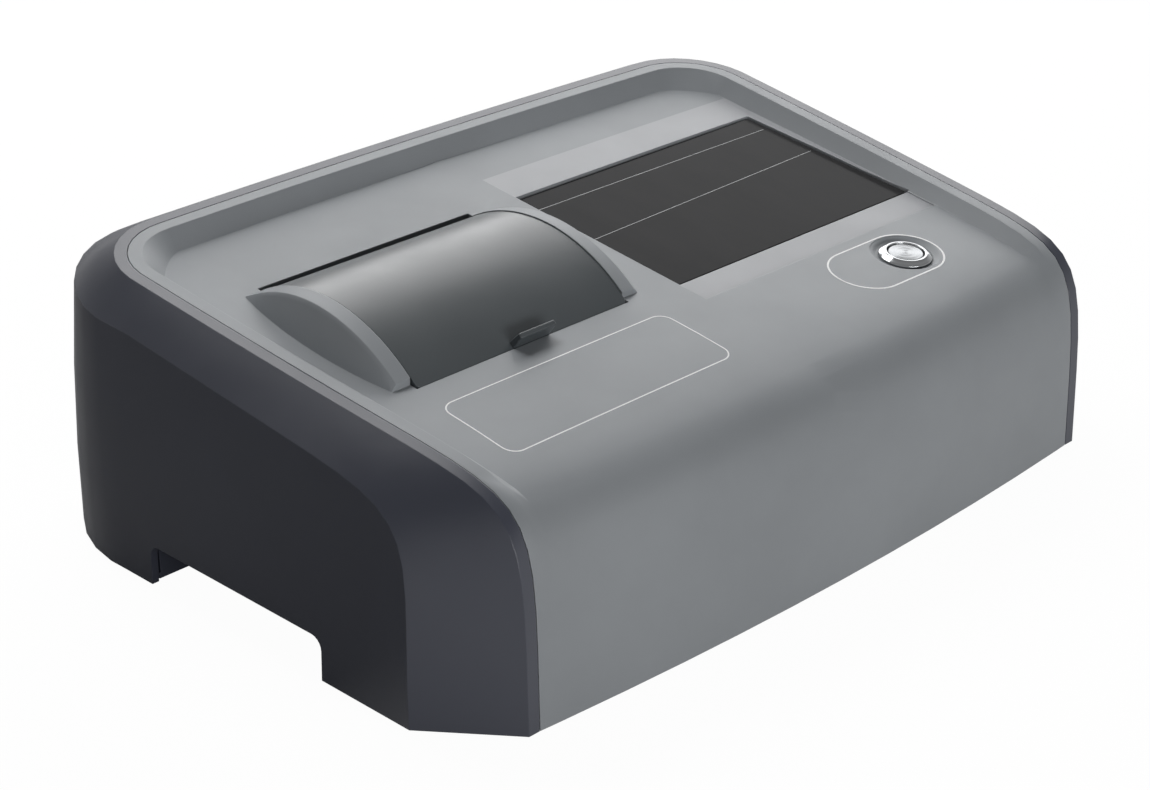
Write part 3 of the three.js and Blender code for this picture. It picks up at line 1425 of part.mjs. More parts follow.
function usbSocket() {
  const z = socketZ(usbHeight);
  const face = faceY(usbX, z);
  const body = block([usbX - usbWidth / 2, usbX + usbWidth / 2], [face - usbDepth, face], [z - usbHeight / 2, z + usbHeight / 2]);
  const mouth = block(
    [usbX - usbMouthWidth / 2, usbX + usbMouthWidth / 2],
    [face - usbMouthDepth, face + overrun],
    [z - usbMouthHeight / 2, z + usbMouthHeight / 2],
  );
  const tongue = block(
    [usbX - usbTongueWidth / 2, usbX + usbTongueWidth / 2],
    [face - usbMouthDepth - usbTongueSetback / 2, face - usbTongueSetback],
    [z - usbTongueHeight / 2, z + usbTongueHeight / 2],
  );
  return body.subtract(mouth).add(tongue);
}

function powerJack() {
  const z = socketZ(jackHeight);
  const face = faceY(jackX, z);
  const body = block([jackX - jackWidth / 2, jackX + jackWidth / 2], [face - jackDepth, face], [z - jackHeight / 2, z + jackHeight / 2]);
  const mouth = rodAlong(1, jackBore, face - jackBoreDepth, face + overrun, [jackX, z], 20);
  const pin = rodAlong(1, jackPinRadius, face - jackBoreDepth - jackPinRadius, face - jackPinSetback, [jackX, z], 12);
  return body.subtract(mouth).add(pin);
}

const rockerFace = backY(rockerX - rockerFrameWidth / 2, rockerZ - rockerFrameHeight / 2);
const rockerPivotY = rockerFace + rockerFrameLip + rockerProud - rockerRadius;

function rockerFrame() {
  const lip = block(
    [rockerX - rockerFrameWidth / 2, rockerX + rockerFrameWidth / 2],
    [rockerFace + gap, rockerFace + gap + rockerFrameLip],
    [rockerZ - rockerFrameHeight / 2, rockerZ + rockerFrameHeight / 2],
  );
  const body = block(
    [rockerX - rockerBodyWidth / 2, rockerX + rockerBodyWidth / 2],
    [rockerFace - rockerBodyDepth, rockerFace + rockerFrameLip],
    [rockerZ - rockerBodyHeight / 2, rockerZ + rockerBodyHeight / 2],
  );
  const clear = rockerRadius + rockerClearance;
  const cradle = rodAlong(0, clear, rockerX - rockerWidth / 2 - rockerClearance, rockerX + rockerWidth / 2 + rockerClearance, [
    rockerPivotY,
    rockerZ,
  ], 40);
  const throat = block(
    [rockerX - rockerWidth / 2 - rockerClearance, rockerX + rockerWidth / 2 + rockerClearance],
    [rockerPivotY, rockerFace + overrun],
    [rockerZ - clear, rockerZ + clear],
  );
  return lip.add(body).subtract(cradle).subtract(throat);
}

// The rocker's ends are arcs round its pivot. Its face is a shallow V, turned to the off side at rest.
function rockerKey() {
  const points = [];
  const steps = 16;
  const reach = Math.PI / 3;
  for (let i = 0; i <= steps; i += 1) {
    const angle = reach + ((2 * Math.PI - 2 * reach) * i) / steps;
    points.push([rockerPivotY + rockerRadius * Math.cos(angle), rockerZ + rockerRadius * Math.sin(angle)]);
  }
  points.push([rockerPivotY + rockerRadius * Math.cos(reach) - rockerProud / 3, rockerZ]);
  const key = drawn(points, rockerX - rockerWidth / 2, rockerX + rockerWidth / 2);
  const tilt = rockerTilt_deg;
  return key.translate([0, -rockerPivotY, -rockerZ]).rotate([tilt, 0, 0]).translate([0, rockerPivotY, rockerZ]);
}

// Finishes

const finishes = {
  coverGrey: { color: 0x96989c, roughness: 0.5, metalness: 0 },
  shellDark: { color: 0x303238, roughness: 0.45, metalness: 0 },
  lidDark: { color: 0x44484a, roughness: 0.5, metalness: 0 },
  blackPlastic: { color: 0x17181a, roughness: 0.55, metalness: 0 },
  rubber: { color: 0x1a1a1b, roughness: 0.85, metalness: 0 },
  steel: { color: 0xb9bbbe, roughness: 0.28, metalness: 1 },
  zincPlate: { color: 0x9a9d9f, roughness: 0.4, metalness: 1 },
  anodised: { color: 0x2a2b2d, roughness: 0.4, metalness: 0.6 },
  castAlloy: { color: 0xa8aaac, roughness: 0.5, metalness: 1 },
  foam: { color: 0x202020, roughness: 0.95, metalness: 0 },
  screenGlass: { color: 0x3a3a3b, roughness: 0.12, metalness: 0 },
  lensGlass: { color: 0xdfe8ec, roughness: 0.05, metalness: 0 },
  boardGreen: { color: 0x1f5b3a, roughness: 0.5, metalness: 0 },
  ceramic: { color: 0xf0efe8, roughness: 0.7, metalness: 0 },
};

function piece(name, solid, finish) {
  const mesh = new THREE.Mesh(geometryOf(solid), new THREE.MeshStandardMaterial(finishes[finish]));
  mesh.name = name;
  return mesh;
}

// Assembly

const colorimeter = new THREE.Group();
const depthCentre = (backY(0, 0) - frontBow) / 2;
const body = new THREE.Group();
body.position.set(0, -depthCentre, footDrop);
colorimeter.add(body);

body.add(piece("main_cover", mainCover(), "coverGrey"));
body.add(piece("outer_shell", outerShell(), "shellDark"));
body.add(piece("base_pan", basePan(), "zincPlate"));
body.add(piece("compartment_lid", compartmentLid(), "lidDark"));
body.add(piece("lid_hinge_pin", hingePin(), "steel"));
body.add(piece("sample_tub", sampleTub(), "blackPlastic"));
body.add(piece("tub_gasket", tubGasket(), "foam"));
body.add(piece("cuvette_holder", cuvetteHolder(), "anodised"));
body.add(piece("optical_bench", opticalBench(), "castAlloy"));
body.add(piece("lamp_housing", lampHousing(), "anodised"));
body.add(piece("lamp_led", lampLed(), "ceramic"));
body.add(piece("lens_barrel", lensBarrel(), "anodised"));
body.add(piece("source_lens", sourceLens(), "lensGlass"));
body.add(piece("sphere_half_left", sphereHalf(-1), "castAlloy"));
body.add(piece("sphere_half_right", sphereHalf(1), "castAlloy"));
body.add(piece("port_coupler", portCoupler(), "anodised"));
body.add(piece("spectrometer_housing", spectrometerHousing(), "castAlloy"));
body.add(piece("spectrometer_cover", spectrometerCover(), "castAlloy"));
body.add(piece("slit_plate", slitPlate(), "anodised"));
body.add(piece("concave_grating", concaveGrating(), "lensGlass"));
body.add(piece("sensor_board", sensorBoard(), "boardGreen"));
body.add(piece("main_board", mainBoard(), "boardGreen"));
body.add(piece("usb_socket", usbSocket(), "zincPlate"));
body.add(piece("power_jack", powerJack(), "blackPlastic"));
body.add(piece("power_rocker_frame", rockerFrame(), "blackPlastic"));
body.add(piece("power_rocker", rockerKey(), "blackPlastic"));

const footNames = ["foot_front_left", "foot_rear_left", "foot_front_right", "foot_rear_right"];
footPlaces.forEach(([x, y], i) => {
  const mesh = piece(footNames[i], foot(), "rubber");
  mesh.position.set(x, y, 0);
  body.add(mesh);
});

screwPlaces.forEach(([x, y], i) => {
  const mesh = piece(`case_screw_${i + 1}`, screw(screwLength + panWall), "zincPlate");
  mesh.position.set(x, y, panRise - gap);
  body.add(mesh);
});

tubScrewPlaces.forEach(([x, y], i) => {
  const mesh = piece(`tub_screw_${i + 1}`, screw(tubScrewLength), "zincPlate");
  mesh.position.set(x, y, flangeTop(y) - tubFlangeThickness - gap * 2);
  body.add(mesh);
});

benchFeet.forEach(([x, y], i) => {
  const standoff = rod(benchStandoffRadius, panTop + gap, benchTop - benchThickness - gap, 16);
  const mesh = piece(`bench_standoff_${i + 1}`, standoff, "zincPlate");
  mesh.position.set(x, y, 0);
  body.add(mesh);
});

boardFeet.forEach(([x, y], i) => {
  const mesh = piece(`board_standoff_${i + 1}`, rod(boardStandoffRadius, panTop + gap, boardBase - gap, 12), "zincPlate");
  mesh.position.set(x, y, 0);
  body.add(mesh);
});

const deckFrame = new THREE.Group();
deckFrame.position.set(0, 0, deckFrontHeight);
deckFrame.rotation.x = deckAngle;
body.add(deckFrame);
deckFrame.add(piece("display_glass", displayGlass(), "screenGlass"));
deckFrame.add(piece("display_frame", displayFrame(), "blackPlastic"));
deckFrame.add(piece("display_module", displayModule(), "castAlloy"));
deckFrame.add(piece("display_bracket", displayBracket(), "zincPlate"));

const buttonFrame = new THREE.Group();
buttonFrame.position.set(buttonX, buttonY, deckZ(buttonY));
buttonFrame.rotation.x = deckAngle;
body.add(buttonFrame);
buttonFrame.add(piece("button_bezel", buttonBezel(), "steel"));
buttonFrame.add(piece("button_cap", buttonCap(), "steel"));
buttonFrame.add(piece("button_nut", buttonNut(), "steel"));
buttonFrame.add(piece("button_spring", buttonSpring(), "steel"));
buttonFrame.add(piece("button_contact_block", buttonContactBlock(), "blackPlastic"));

export default colorimeter;
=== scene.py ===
"""Looks of the benchtop colorimeter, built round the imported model. Metres, +Z up, x to the right, y to the back."""
import json
import math

import bmesh
import bpy
import numpy as np
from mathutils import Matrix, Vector

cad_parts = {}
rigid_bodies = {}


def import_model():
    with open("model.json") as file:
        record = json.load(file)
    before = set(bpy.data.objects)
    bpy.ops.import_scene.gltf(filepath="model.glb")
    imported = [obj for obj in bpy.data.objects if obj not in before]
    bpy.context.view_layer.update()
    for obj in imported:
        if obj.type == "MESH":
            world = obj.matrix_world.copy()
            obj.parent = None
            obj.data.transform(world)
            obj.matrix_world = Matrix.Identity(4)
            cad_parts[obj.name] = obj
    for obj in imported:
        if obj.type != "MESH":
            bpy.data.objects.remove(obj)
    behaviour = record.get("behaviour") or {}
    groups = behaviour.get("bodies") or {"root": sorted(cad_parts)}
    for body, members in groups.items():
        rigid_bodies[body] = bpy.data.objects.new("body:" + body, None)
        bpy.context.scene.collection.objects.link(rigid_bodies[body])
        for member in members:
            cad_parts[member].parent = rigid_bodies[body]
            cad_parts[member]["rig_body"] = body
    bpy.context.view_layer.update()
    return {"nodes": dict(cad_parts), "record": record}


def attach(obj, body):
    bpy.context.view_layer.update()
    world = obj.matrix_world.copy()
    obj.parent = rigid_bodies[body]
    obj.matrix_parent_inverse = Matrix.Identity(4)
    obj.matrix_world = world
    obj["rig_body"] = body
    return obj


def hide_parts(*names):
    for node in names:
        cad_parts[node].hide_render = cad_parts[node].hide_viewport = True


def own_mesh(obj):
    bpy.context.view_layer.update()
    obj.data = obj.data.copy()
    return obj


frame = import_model()
nodes = frame["nodes"]
slot_of = {part["node"]: part["material_slot"] for part in frame["record"]["subparts"]}
mm = 0.001

# Where the case's own frame lies in the row frame: its y = 0 is the front foot of the seam, its
# z = 0 the case's lower edge, above the feet
depth_centre = 127.65 * mm
foot_drop = 3 * mm

# The deck in the case's frame, in millimetres: its height over y = 0, its rise towards the back, and its angle
deck_height = 82.2
deck_slope = 21.4 / 234
deck_tilt = math.atan(deck_slope)


# Materials

metal_edge = 0.25 * mm


def shader(name, colour, roughness, metallic=0.0, **sockets):
    """A new material with a Principled shader; returns the material, its tree and the shader."""
    material = bpy.data.materials.new(name)
    material.use_nodes = True
    tree = material.node_tree
    principled = tree.nodes["Principled BSDF"]
    principled.inputs["Base Color"].default_value = (*colour, 1)
    principled.inputs["Roughness"].default_value = roughness
    principled.inputs["Metallic"].default_value = metallic
    for socket, value in sockets.items():
        principled.inputs[socket.replace("_", " ")].default_value = value
    return material, tree, principled


def linear(hex_colour):
    """The linear colour of an sRGB hex value."""
    values = [int(hex_colour[i:i + 2], 16) / 255 for i in (0, 2, 4)]
    return tuple(v / 12.92 if v <= 0.04045 else ((v + 0.055) / 1.055) ** 2.4 for v in values)


def noise(tree, scale, detail=3.0, roughness=0.5, stretch=(1, 1, 1)):
    """Noise on Object coordinates; scale is in cycles per metre, and stretch multiplies it along each axis, so
    that a small one draws the pattern out."""
    place = tree.nodes.new("ShaderNodeTexCoord")
    mapping = tree.nodes.new("ShaderNodeMapping")
    mapping.inputs["Scale"].default_value = stretch
    tree.links.new(place.outputs["Object"], mapping.inputs["Vector"])
    texture = tree.nodes.new("ShaderNodeTexNoise")
    texture.inputs["Scale"].default_value = scale
    texture.inputs["Detail"].default_value = detail
    texture.inputs["Roughness"].default_value = roughness
    tree.links.new(mapping.outputs["Vector"], texture.inputs["Vector"])
    return texture.outputs["Fac"]


def remap(tree, value, low, high, start=0.0, end=1.0):
    """Value from start..end spread over low..high."""
    node = tree.nodes.new("ShaderNodeMapRange")
    node.inputs["From Min"].default_value = start
    node.inputs["From Max"].default_value = end
    node.inputs["To Min"].default_value = low
    node.inputs["To Max"].default_value = high
    tree.links.new(value, node.inputs["Value"])
    return node.outputs["Result"]


def math_node(tree, operation, *values):
    """A Math node on sockets or numbers."""
    node = tree.nodes.new("ShaderNodeMath")
    node.operation = operation
    for socket, value in zip(node.inputs, values):
        if isinstance(value, (int, float)):
            socket.default_value = value
        else:
            tree.links.new(value, socket)
    return node.outputs["Value"]


def mixed(tree, factor, first, second):
    """A colour between two linear colours or sockets."""
    node = tree.nodes.new("ShaderNodeMix")
    node.data_type = "RGBA"
    tree.links.new(factor, node.inputs["Factor"])
    for name, value in (("A", first), ("B", second)):
        socket = [s for s in node.inputs if s.name == name and s.type == "RGBA"][0]
        if isinstance(value, tuple):
            socket.default_value = (*value, 1)
        else:
            tree.links.new(value, socket)
    return [s for s in node.outputs if s.type == "RGBA"][0]


def bump(tree, principled, height, distance, normal=None):
    """Height into the shader's normal, over an optional normal of its own; distance is the relief in metres."""
    node = tree.nodes.new("ShaderNodeBump")
    node.inputs["Distance"].default_value = distance
    node.inputs["Strength"].default_value = 1.0
    tree.links.new(height, node.inputs["Height"])
    if normal is not None:
        tree.links.new(normal, node.inputs["Normal"])
    tree.links.new(node.outputs["Normal"], principled.inputs["Normal"])


def rounding(tree, radius):
    """Normals rounded over the edges within a radius, and how strongly each place is an edge, from 0 to 1, by the
    cosine between its rounded and its own normal."""
    full_edge, no_edge = 0.80, 0.995
    edge = tree.nodes.new("ShaderNodeBevel")
    edge.samples = 6
    edge.inputs["Radius"].default_value = radius
    geometry = tree.nodes.new("ShaderNodeNewGeometry")
    dot = tree.nodes.new("ShaderNodeVectorMath")
    dot.operation = "DOT_PRODUCT"
    tree.links.new(edge.outputs["Normal"], dot.inputs[0])
    tree.links.new(geometry.outputs["Normal"], dot.inputs[1])
    return edge.outputs["Normal"], remap(tree, dot.outputs["Value"], 1.0, 0.0, full_edge, no_edge)


def moulded(name, colour, roughness, wear, grain_depth=0.012, edge=0.5, cloud=0.05):
    """Injection-moulded plastic: spark-eroded grain in the bump, soft clouds in tone and gloss, edges rubbed
    a little lighter and smoother than the faces. Depth and edge are in millimetres; wear and cloud are shares
    of the colour."""
    grain_scale, cloud_scale, rub_scale, gloss_scale = 2600, 14, 120, 38
    material, tree, principled = shader(name, colour, roughness)
    fine = noise(tree, grain_scale, 2.0, 0.55)
    soft = noise(tree, cloud_scale, 4.0, 0.6)
    normal, worn = rounding(tree, edge * mm)
    darker = tuple(c * (1 - cloud) for c in colour)
    lighter = tuple(c * (1 + cloud) for c in colour)
    rubbed = tuple(min(1.0, c * (1 + wear) + 0.02 * wear) for c in colour)
    body = mixed(tree, remap(tree, soft, 0.0, 1.0, 0.32, 0.68), darker, lighter)
    speck = mixed(tree, remap(tree, fine, 0.0, 0.05, 0.3, 0.7), body, lighter)
    patches = remap(tree, noise(tree, rub_scale, 3.0, 0.6), 0.35, 1.0, 0.35, 0.65)
    mask = math_node(tree, "MULTIPLY", worn, patches)
    tree.links.new(mixed(tree, mask, speck, rubbed), principled.inputs["Base Color"])
    gloss = remap(tree, noise(tree, gloss_scale, 5.0, 0.62), roughness - 0.03, roughness + 0.04, 0.3, 0.7)
    tree.links.new(math_node(tree, "SUBTRACT", gloss, math_node(tree, "MULTIPLY", mask, 0.06)),
                   principled.inputs["Roughness"])
    bump(tree, principled, fine, grain_depth * mm, normal)
    return material


def metal(name, colour, roughness, lay, scale=900):
    """Machined or plated metal: a fine lay drawn out along one axis, patchy tone, bright rounded edges."""
    patch_scale, line_depth = 60, 0.006 * mm
    material, tree, principled = shader(name, colour, roughness, 1.0)
    lines = noise(tree, scale, 3.0, 0.6, lay)
    normal, worn = rounding(tree, metal_edge)
    dull = tuple(c * 0.82 for c in colour)
    bright = tuple(min(1.0, c * 1.12) for c in colour)
    tone = mixed(tree, remap(tree, noise(tree, patch_scale, 4.0, 0.6), 0.0, 1.0, 0.3, 0.7), dull, colour)
    gloss = remap(tree, lines, roughness - 0.06, roughness + 0.1, 0.25, 0.75)
    tree.links.new(mixed(tree, worn, tone, bright), principled.inputs["Base Color"])
    tree.links.new(gloss, principled.inputs["Roughness"])
    bump(tree, principled, lines, line_depth, normal)
    return material


def turned(name, colour, roughness, centre, axis_tilt, depth, anisotropy):
    """Turned metal: fine rings about the button's axis, which leans back by axis_tilt. Each highlight is drawn
    out across the rings, into a wedge that starts at the centre. The rings' depth is in millimetres."""
    pitch = 0.35 * mm
    waves_per_unit = 20
    material, tree, principled = shader(name, colour, roughness, 1.0, Anisotropic=anisotropy)
    place = tree.nodes.new("ShaderNodeTexCoord")
    outward = tree.nodes.new("ShaderNodeVectorMath")
    outward.operation = "SUBTRACT"
    outward.inputs[1].default_value = centre
    tree.links.new(place.outputs["Object"], outward.inputs[0])
    tree.links.new(outward.outputs["Vector"], principled.inputs["Tangent"])
    mapping = tree.nodes.new("ShaderNodeMapping")
    mapping.vector_type = "TEXTURE"
    mapping.inputs["Location"].default_value = centre
    mapping.inputs["Rotation"].default_value = (axis_tilt, 0, 0)
    tree.links.new(place.outputs["Object"], mapping.inputs["Vector"])
    rings = tree.nodes.new("ShaderNodeTexWave")
    rings.wave_type = "RINGS"
    rings.rings_direction = "Z"
    rings.inputs["Scale"].default_value = 1 / pitch / waves_per_unit
    rings.inputs["Distortion"].default_value = 1.5
    rings.inputs["Detail"].default_value = 3
    tree.links.new(mapping.outputs["Vector"], rings.inputs["Vector"])
    normal, _ = rounding(tree, metal_edge)
    dull = tuple(c * 0.86 for c in colour)
    gloss = remap(tree, rings.outputs["Fac"], roughness - 0.05, roughness + 0.07)
    tree.links.new(mixed(tree, rings.outputs["Fac"], dull, colour), principled.inputs["Base Color"])
    tree.links.new(gloss, principled.inputs["Roughness"])
    bump(tree, principled, rings.outputs["Fac"], depth * mm, normal)
    return material


def display_pane():
    """Switched-off display: near-black under an anti-glare pane, with faint wipe marks and specks of dust."""
    material, tree, principled = shader("dark_display_pane", linear("303031"), 0.1, Specular_IOR_Level=0.014)
    wipe = noise(tree, 45, 5.0, 0.6, (1, 0.25, 1))
    dust = noise(tree, 1400, 2.0, 0.5)
    tone = mixed(tree, remap(tree, wipe, 0.0, 1.0, 0.3, 0.7), linear("363637"), linear("3b3b3c"))
    speck = remap(tree, dust, 0.0, 0.25, 0.72, 0.8)
    tree.links.new(mixed(tree, speck, tone, linear("464648")), principled.inputs["Base Color"])
    tree.links.new(remap(tree, wipe, 0.09, 0.12, 0.3, 0.7), principled.inputs["Roughness"])
    normal, _ = rounding(tree, 0.3 * mm)
    tree.links.new(normal, principled.inputs["Normal"])
    return material


def clear_glass():
    """Polished optical glass with a faint coating tint and fine polishing haze."""
    material, tree, principled = shader("optical_glass", (0.86, 0.92, 0.95), 0.04,
                                        Transmission_Weight=0.9, IOR=1.5)
    haze = noise(tree, 900, 3.0, 0.5)
    tree.links.new(mixed(tree, haze, (0.82, 0.9, 0.95), (0.9, 0.94, 0.95)), principled.inputs["Base Color"])
    tree.links.new(remap(tree, haze, 0.02, 0.07, 0.3, 0.7), principled.inputs["Roughness"])
    return material


def coated_board():
    """Green circuit board: copper tracks under solder mask as a faint rectangular relief."""
    mask_green, track_green = linear("1d5a3c"), linear("2c7a4e")
    material, tree, principled = shader("coated_board", mask_green, 0.35, Coat_Weight=0.3)
    place = tree.nodes.new("ShaderNodeTexCoord")
    tracks = tree.nodes.new("ShaderNodeTexBrick")
    tracks.inputs["Scale"].default_value = 160
    tracks.inputs["Mortar Size"].default_value = 0.06
    tree.links.new(place.outputs["Object"], tracks.inputs["Vector"])
    tree.links.new(mixed(tree, tracks.outputs["Fac"], mask_green, track_green), principled.inputs["Base Color"])
    tree.links.new(remap(tree, noise(tree, 300), 0.28, 0.42, 0.3, 0.7), principled.inputs["Roughness"])
    bump(tree, principled, tracks.outputs["Fac"], 0.05 * mm)
    return material


def foam_rubber(name, colour, cell, depth):
    """Cellular or matt rubber: pores in the bump and a dusty, uneven tone. Cell size and depth in millimetres."""
    material, tree, principled = shader(name, colour, 0.85)
    place = tree.nodes.new("ShaderNodeTexCoord")
    pores = tree.nodes.new("ShaderNodeTexVoronoi")
    pores.inputs["Scale"].default_value = 1 / (cell * mm)
    tree.links.new(place.outputs["Object"], pores.inputs["Vector"])
    dusty = tuple(min(1.0, c * 1.5 + 0.01) for c in colour)
    tree.links.new(mixed(tree, pores.outputs["Distance"], colour, dusty), principled.inputs["Base Color"])
    tree.links.new(remap(tree, noise(tree, 200), 0.78, 0.92, 0.3, 0.7), principled.inputs["Roughness"])
    bump(tree, principled, pores.outputs["Distance"], depth * mm)
    return material


# Finishes by the record's material slots; the keys are the slots' names
finishes = {
    "cover_grey": moulded("cover_grey_moulding", linear("94989c"), 0.47, wear=0.3),
    "shell_dark": moulded("shell_dark_moulding", linear("3d404c"), 0.32, wear=0.5),
    "lid_dark": moulded("lid_dark_moulding", linear("4e5356"), 0.31, wear=0.4),
    "black_plastic": moulded("black_moulding", linear("1c1c1e"), 0.5, wear=0.8),
    "foot_rubber": foam_rubber("foot_rubber", linear("1d1d1e"), 0.9, 0.02),
    "foam": foam_rubber("gasket_foam", linear("202022"), 0.5, 0.15),
    "steel": metal("brushed_stainless", linear("c4c6c8"), 0.28, (0.06, 1, 1)),
    "plated_steel": metal("zinc_plate", linear("a2a5a5"), 0.4, (1, 1, 1), 240),
    "anodised": metal("black_anodised", linear("3a3b3d"), 0.45, (1, 1, 0.1), 700),
    "cast_alloy": metal("machined_alloy", linear("aeb0b3"), 0.36, (1, 0.08, 1), 500),
    "screen_glass": display_pane(),
    "lens_glass": clear_glass(),
    "board_green": coated_board(),
    "ceramic": moulded("lamp_ceramic", linear("ece9df"), 0.55, wear=0.02, cloud=0.02),
}


def dress(obj, material):
    """One material on the whole object."""
    obj.data.materials.clear()
    obj.data.materials.append(material)


for name, node in nodes.items():
    dress(node, finishes[slot_of[name]])


# Pieces

def body_of(name):
    """The body that a CAD node rides on."""
    return nodes[name]["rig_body"]


def placed(piece, body, material, slot, *replaced):
    """Gives a piece its finish and body, and lets it stand for CAD nodes; its slot is not used."""
    dress(piece, material)
    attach(piece, body)
    if replaced:
        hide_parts(*replaced)
    return piece


def shade_curves(work, angle):
    """Smooth shading on a mesh in editing, kept crisp where faces meet at more than an angle in degrees."""
    for face in work.faces:
        face.smooth = True
    for edge in work.edges:
        edge.smooth = edge.is_manifold and edge.calc_face_angle(0.0) < math.radians(angle)


def evened(name, angle):
    """A copy of a CAD node with its corners joined and its curves shaded as curves, up to an angle in degrees."""
    mesh = nodes[name].data.copy()
    work = bmesh.new()
    work.from_mesh(mesh)
    bmesh.ops.remove_doubles(work, verts=work.verts, dist=0.002 * mm)
    bmesh.ops.dissolve_degenerate(work, edges=work.edges, dist=0.001 * mm)
    shade_curves(work, angle)
    work.to_mesh(mesh)
    work.free()
    for attribute in [a.name for a in mesh.attributes if a.name.startswith("custom_normal")]:
        mesh.attributes.remove(mesh.attributes[attribute])
    piece = bpy.data.objects.new(name + "_finish", mesh)
    bpy.context.scene.collection.objects.link(piece)
    placed(piece, body_of(name), finishes[slot_of[name]], slot_of[name], name)
    weighted = piece.modifiers.new("even_normals", "WEIGHTED_NORMAL")
    weighted.keep_sharp = True
    return piece


def lathe(name, profile, centre, tilt, turns=128):
    """Closed profile of (radius, height) turned about an axis that leans back by tilt: x = r cos a, y = r sin a."""
    ring = np.array(profile) * mm
    angle = np.linspace(0, 2 * math.pi, turns, endpoint=False)
    radius, height = ring[:, 0][None, :], ring[:, 1][None, :]
    local = np.stack([radius * np.cos(angle)[:, None], radius * np.sin(angle)[:, None],
                      np.broadcast_to(height, (turns, len(ring)))], axis=2)
    lean = np.array([[1, 0, 0], [0, math.cos(tilt), -math.sin(tilt)], [0, math.sin(tilt), math.cos(tilt)]])
    return sheet_mesh(name, local @ lean.T + np.array(centre), around=True, along=True)


def sheet_mesh(name, points, around=False, along=False):
    """Quads over a grid of points, closed round either way; points that fall together are joined."""
    rows, columns = points.shape[:2]
    index = np.arange(rows * columns).reshape(rows, columns)
    if around:
        index = np.vstack([index, index[:1]])
    if along:
        index = np.hstack([index, index[:, :1]])
    quads = np.stack([index[:-1, :-1], index[1:, :-1], index[1:, 1:], index[:-1, 1:]], axis=2).reshape(-1, 4)
    mesh = bpy.data.meshes.new(name)
    mesh.from_pydata(points.reshape(-1, 3).tolist(), [], quads.tolist())
    work = bmesh.new()
    work.from_mesh(mesh)
    bmesh.ops.remove_doubles(work, verts=work.verts, dist=0.001 * mm)
    bmesh.ops.dissolve_degenerate(work, edges=work.edges, dist=0.0005 * mm)
    bmesh.ops.recalc_face_normals(work, faces=work.faces)
    work.to_mesh(mesh)
    work.free()
    piece = bpy.data.objects.new(name, mesh)
    bpy.context.scene.collection.objects.link(piece)
    return piece


def curves_shaded(piece, angle):
    """Smooth shading on a finished piece, kept crisp beyond an angle in degrees."""
    work = bmesh.new()
    work.from_mesh(piece.data)
    shade_curves(work, angle)
    work.to_mesh(piece.data)
    work.free()


def printed_line(name, path, width, carrier, material, closed=False):
    """Thin printed line: a ribbon of a given width to both sides of a path in plan, pressed down onto the
    surface that carries it. path is an array of (x, y) in the case's frame, in millimetres, and no two of its
    points may fall together."""
    above_case, lift, ink_depth = 125.0, 0.02 * mm, 0.04 * mm
    path = np.array(path, float)
    if closed:
        ahead, behind = np.roll(path, -1, axis=0), np.roll(path, 1, axis=0)
    else:
        ahead = np.vstack([path[1:], 2 * path[-1] - path[-2]])
        behind = np.vstack([2 * path[0] - path[1], path[:-1]])
    run = ahead - behind
    across = np.stack([-run[:, 1], run[:, 0]], axis=1) / np.linalg.norm(run, axis=1)[:, None]
    shares = np.array([-0.5, 0.0, 0.5]) * width
    plan = path[:, None, :] + across[:, None, :] * shares[None, :, None]
    points = np.concatenate([plan, np.full(plan.shape[:2] + (1,), above_case)], axis=2) * mm
    points[:, :, 1] -= depth_centre
    ribbon = sheet_mesh(name, points, around=closed)
    if ribbon.data.polygons[0].normal.z < 0:
        ribbon.data.flip_normals()
    press = ribbon.modifiers.new("press", "SHRINKWRAP")
    press.wrap_method = "PROJECT"
    press.use_project_z = True
    press.use_negative_direction = True
    press.use_positive_direction = False
    press.target = carrier
    press.offset = lift
    ink = ribbon.modifiers.new("ink", "SOLIDIFY")
    ink.thickness = ink_depth
    ink.offset = 1.0
    bpy.context.view_layer.update()
    pressed = bpy.data.meshes.new_from_object(ribbon.evaluated_get(bpy.context.evaluated_depsgraph_get()))
    ribbon.modifiers.clear()
    ribbon.data = pressed
    return placed(ribbon, "case", material, "cover_grey")


def rounded_path(x0, x1, y0, y1, radius, step=1.0):
    """Closed path round a rectangle with round corners, as evenly spaced as the corners allow."""
    corners = [(x1 - radius, y0 + radius, -90), (x1 - radius, y1 - radius, 0),
               (x0 + radius, y1 - radius, 90), (x0 + radius, y0 + radius, 180)]
    turn = np.radians(np.linspace(0, 90, 13))
    parts = []
    for i, (cx, cy, start) in enumerate(corners):
        angle = turn + math.radians(start)
        arc = np.stack([cx + radius * np.cos(angle), cy + radius * np.sin(angle)], axis=1)
        nx, ny, nstart = corners[(i + 1) % 4]
        ahead = math.radians(nstart)
        after = np.array([nx + radius * math.cos(ahead), ny + radius * math.sin(ahead)])
        count = max(2, int(np.linalg.norm(after - arc[-1]) / step))
        share = np.linspace(0, 1, count, endpoint=False)[1:, None]
        parts += [arc, arc[-1] + (after - arc[-1]) * share]
    return np.vstack(parts)


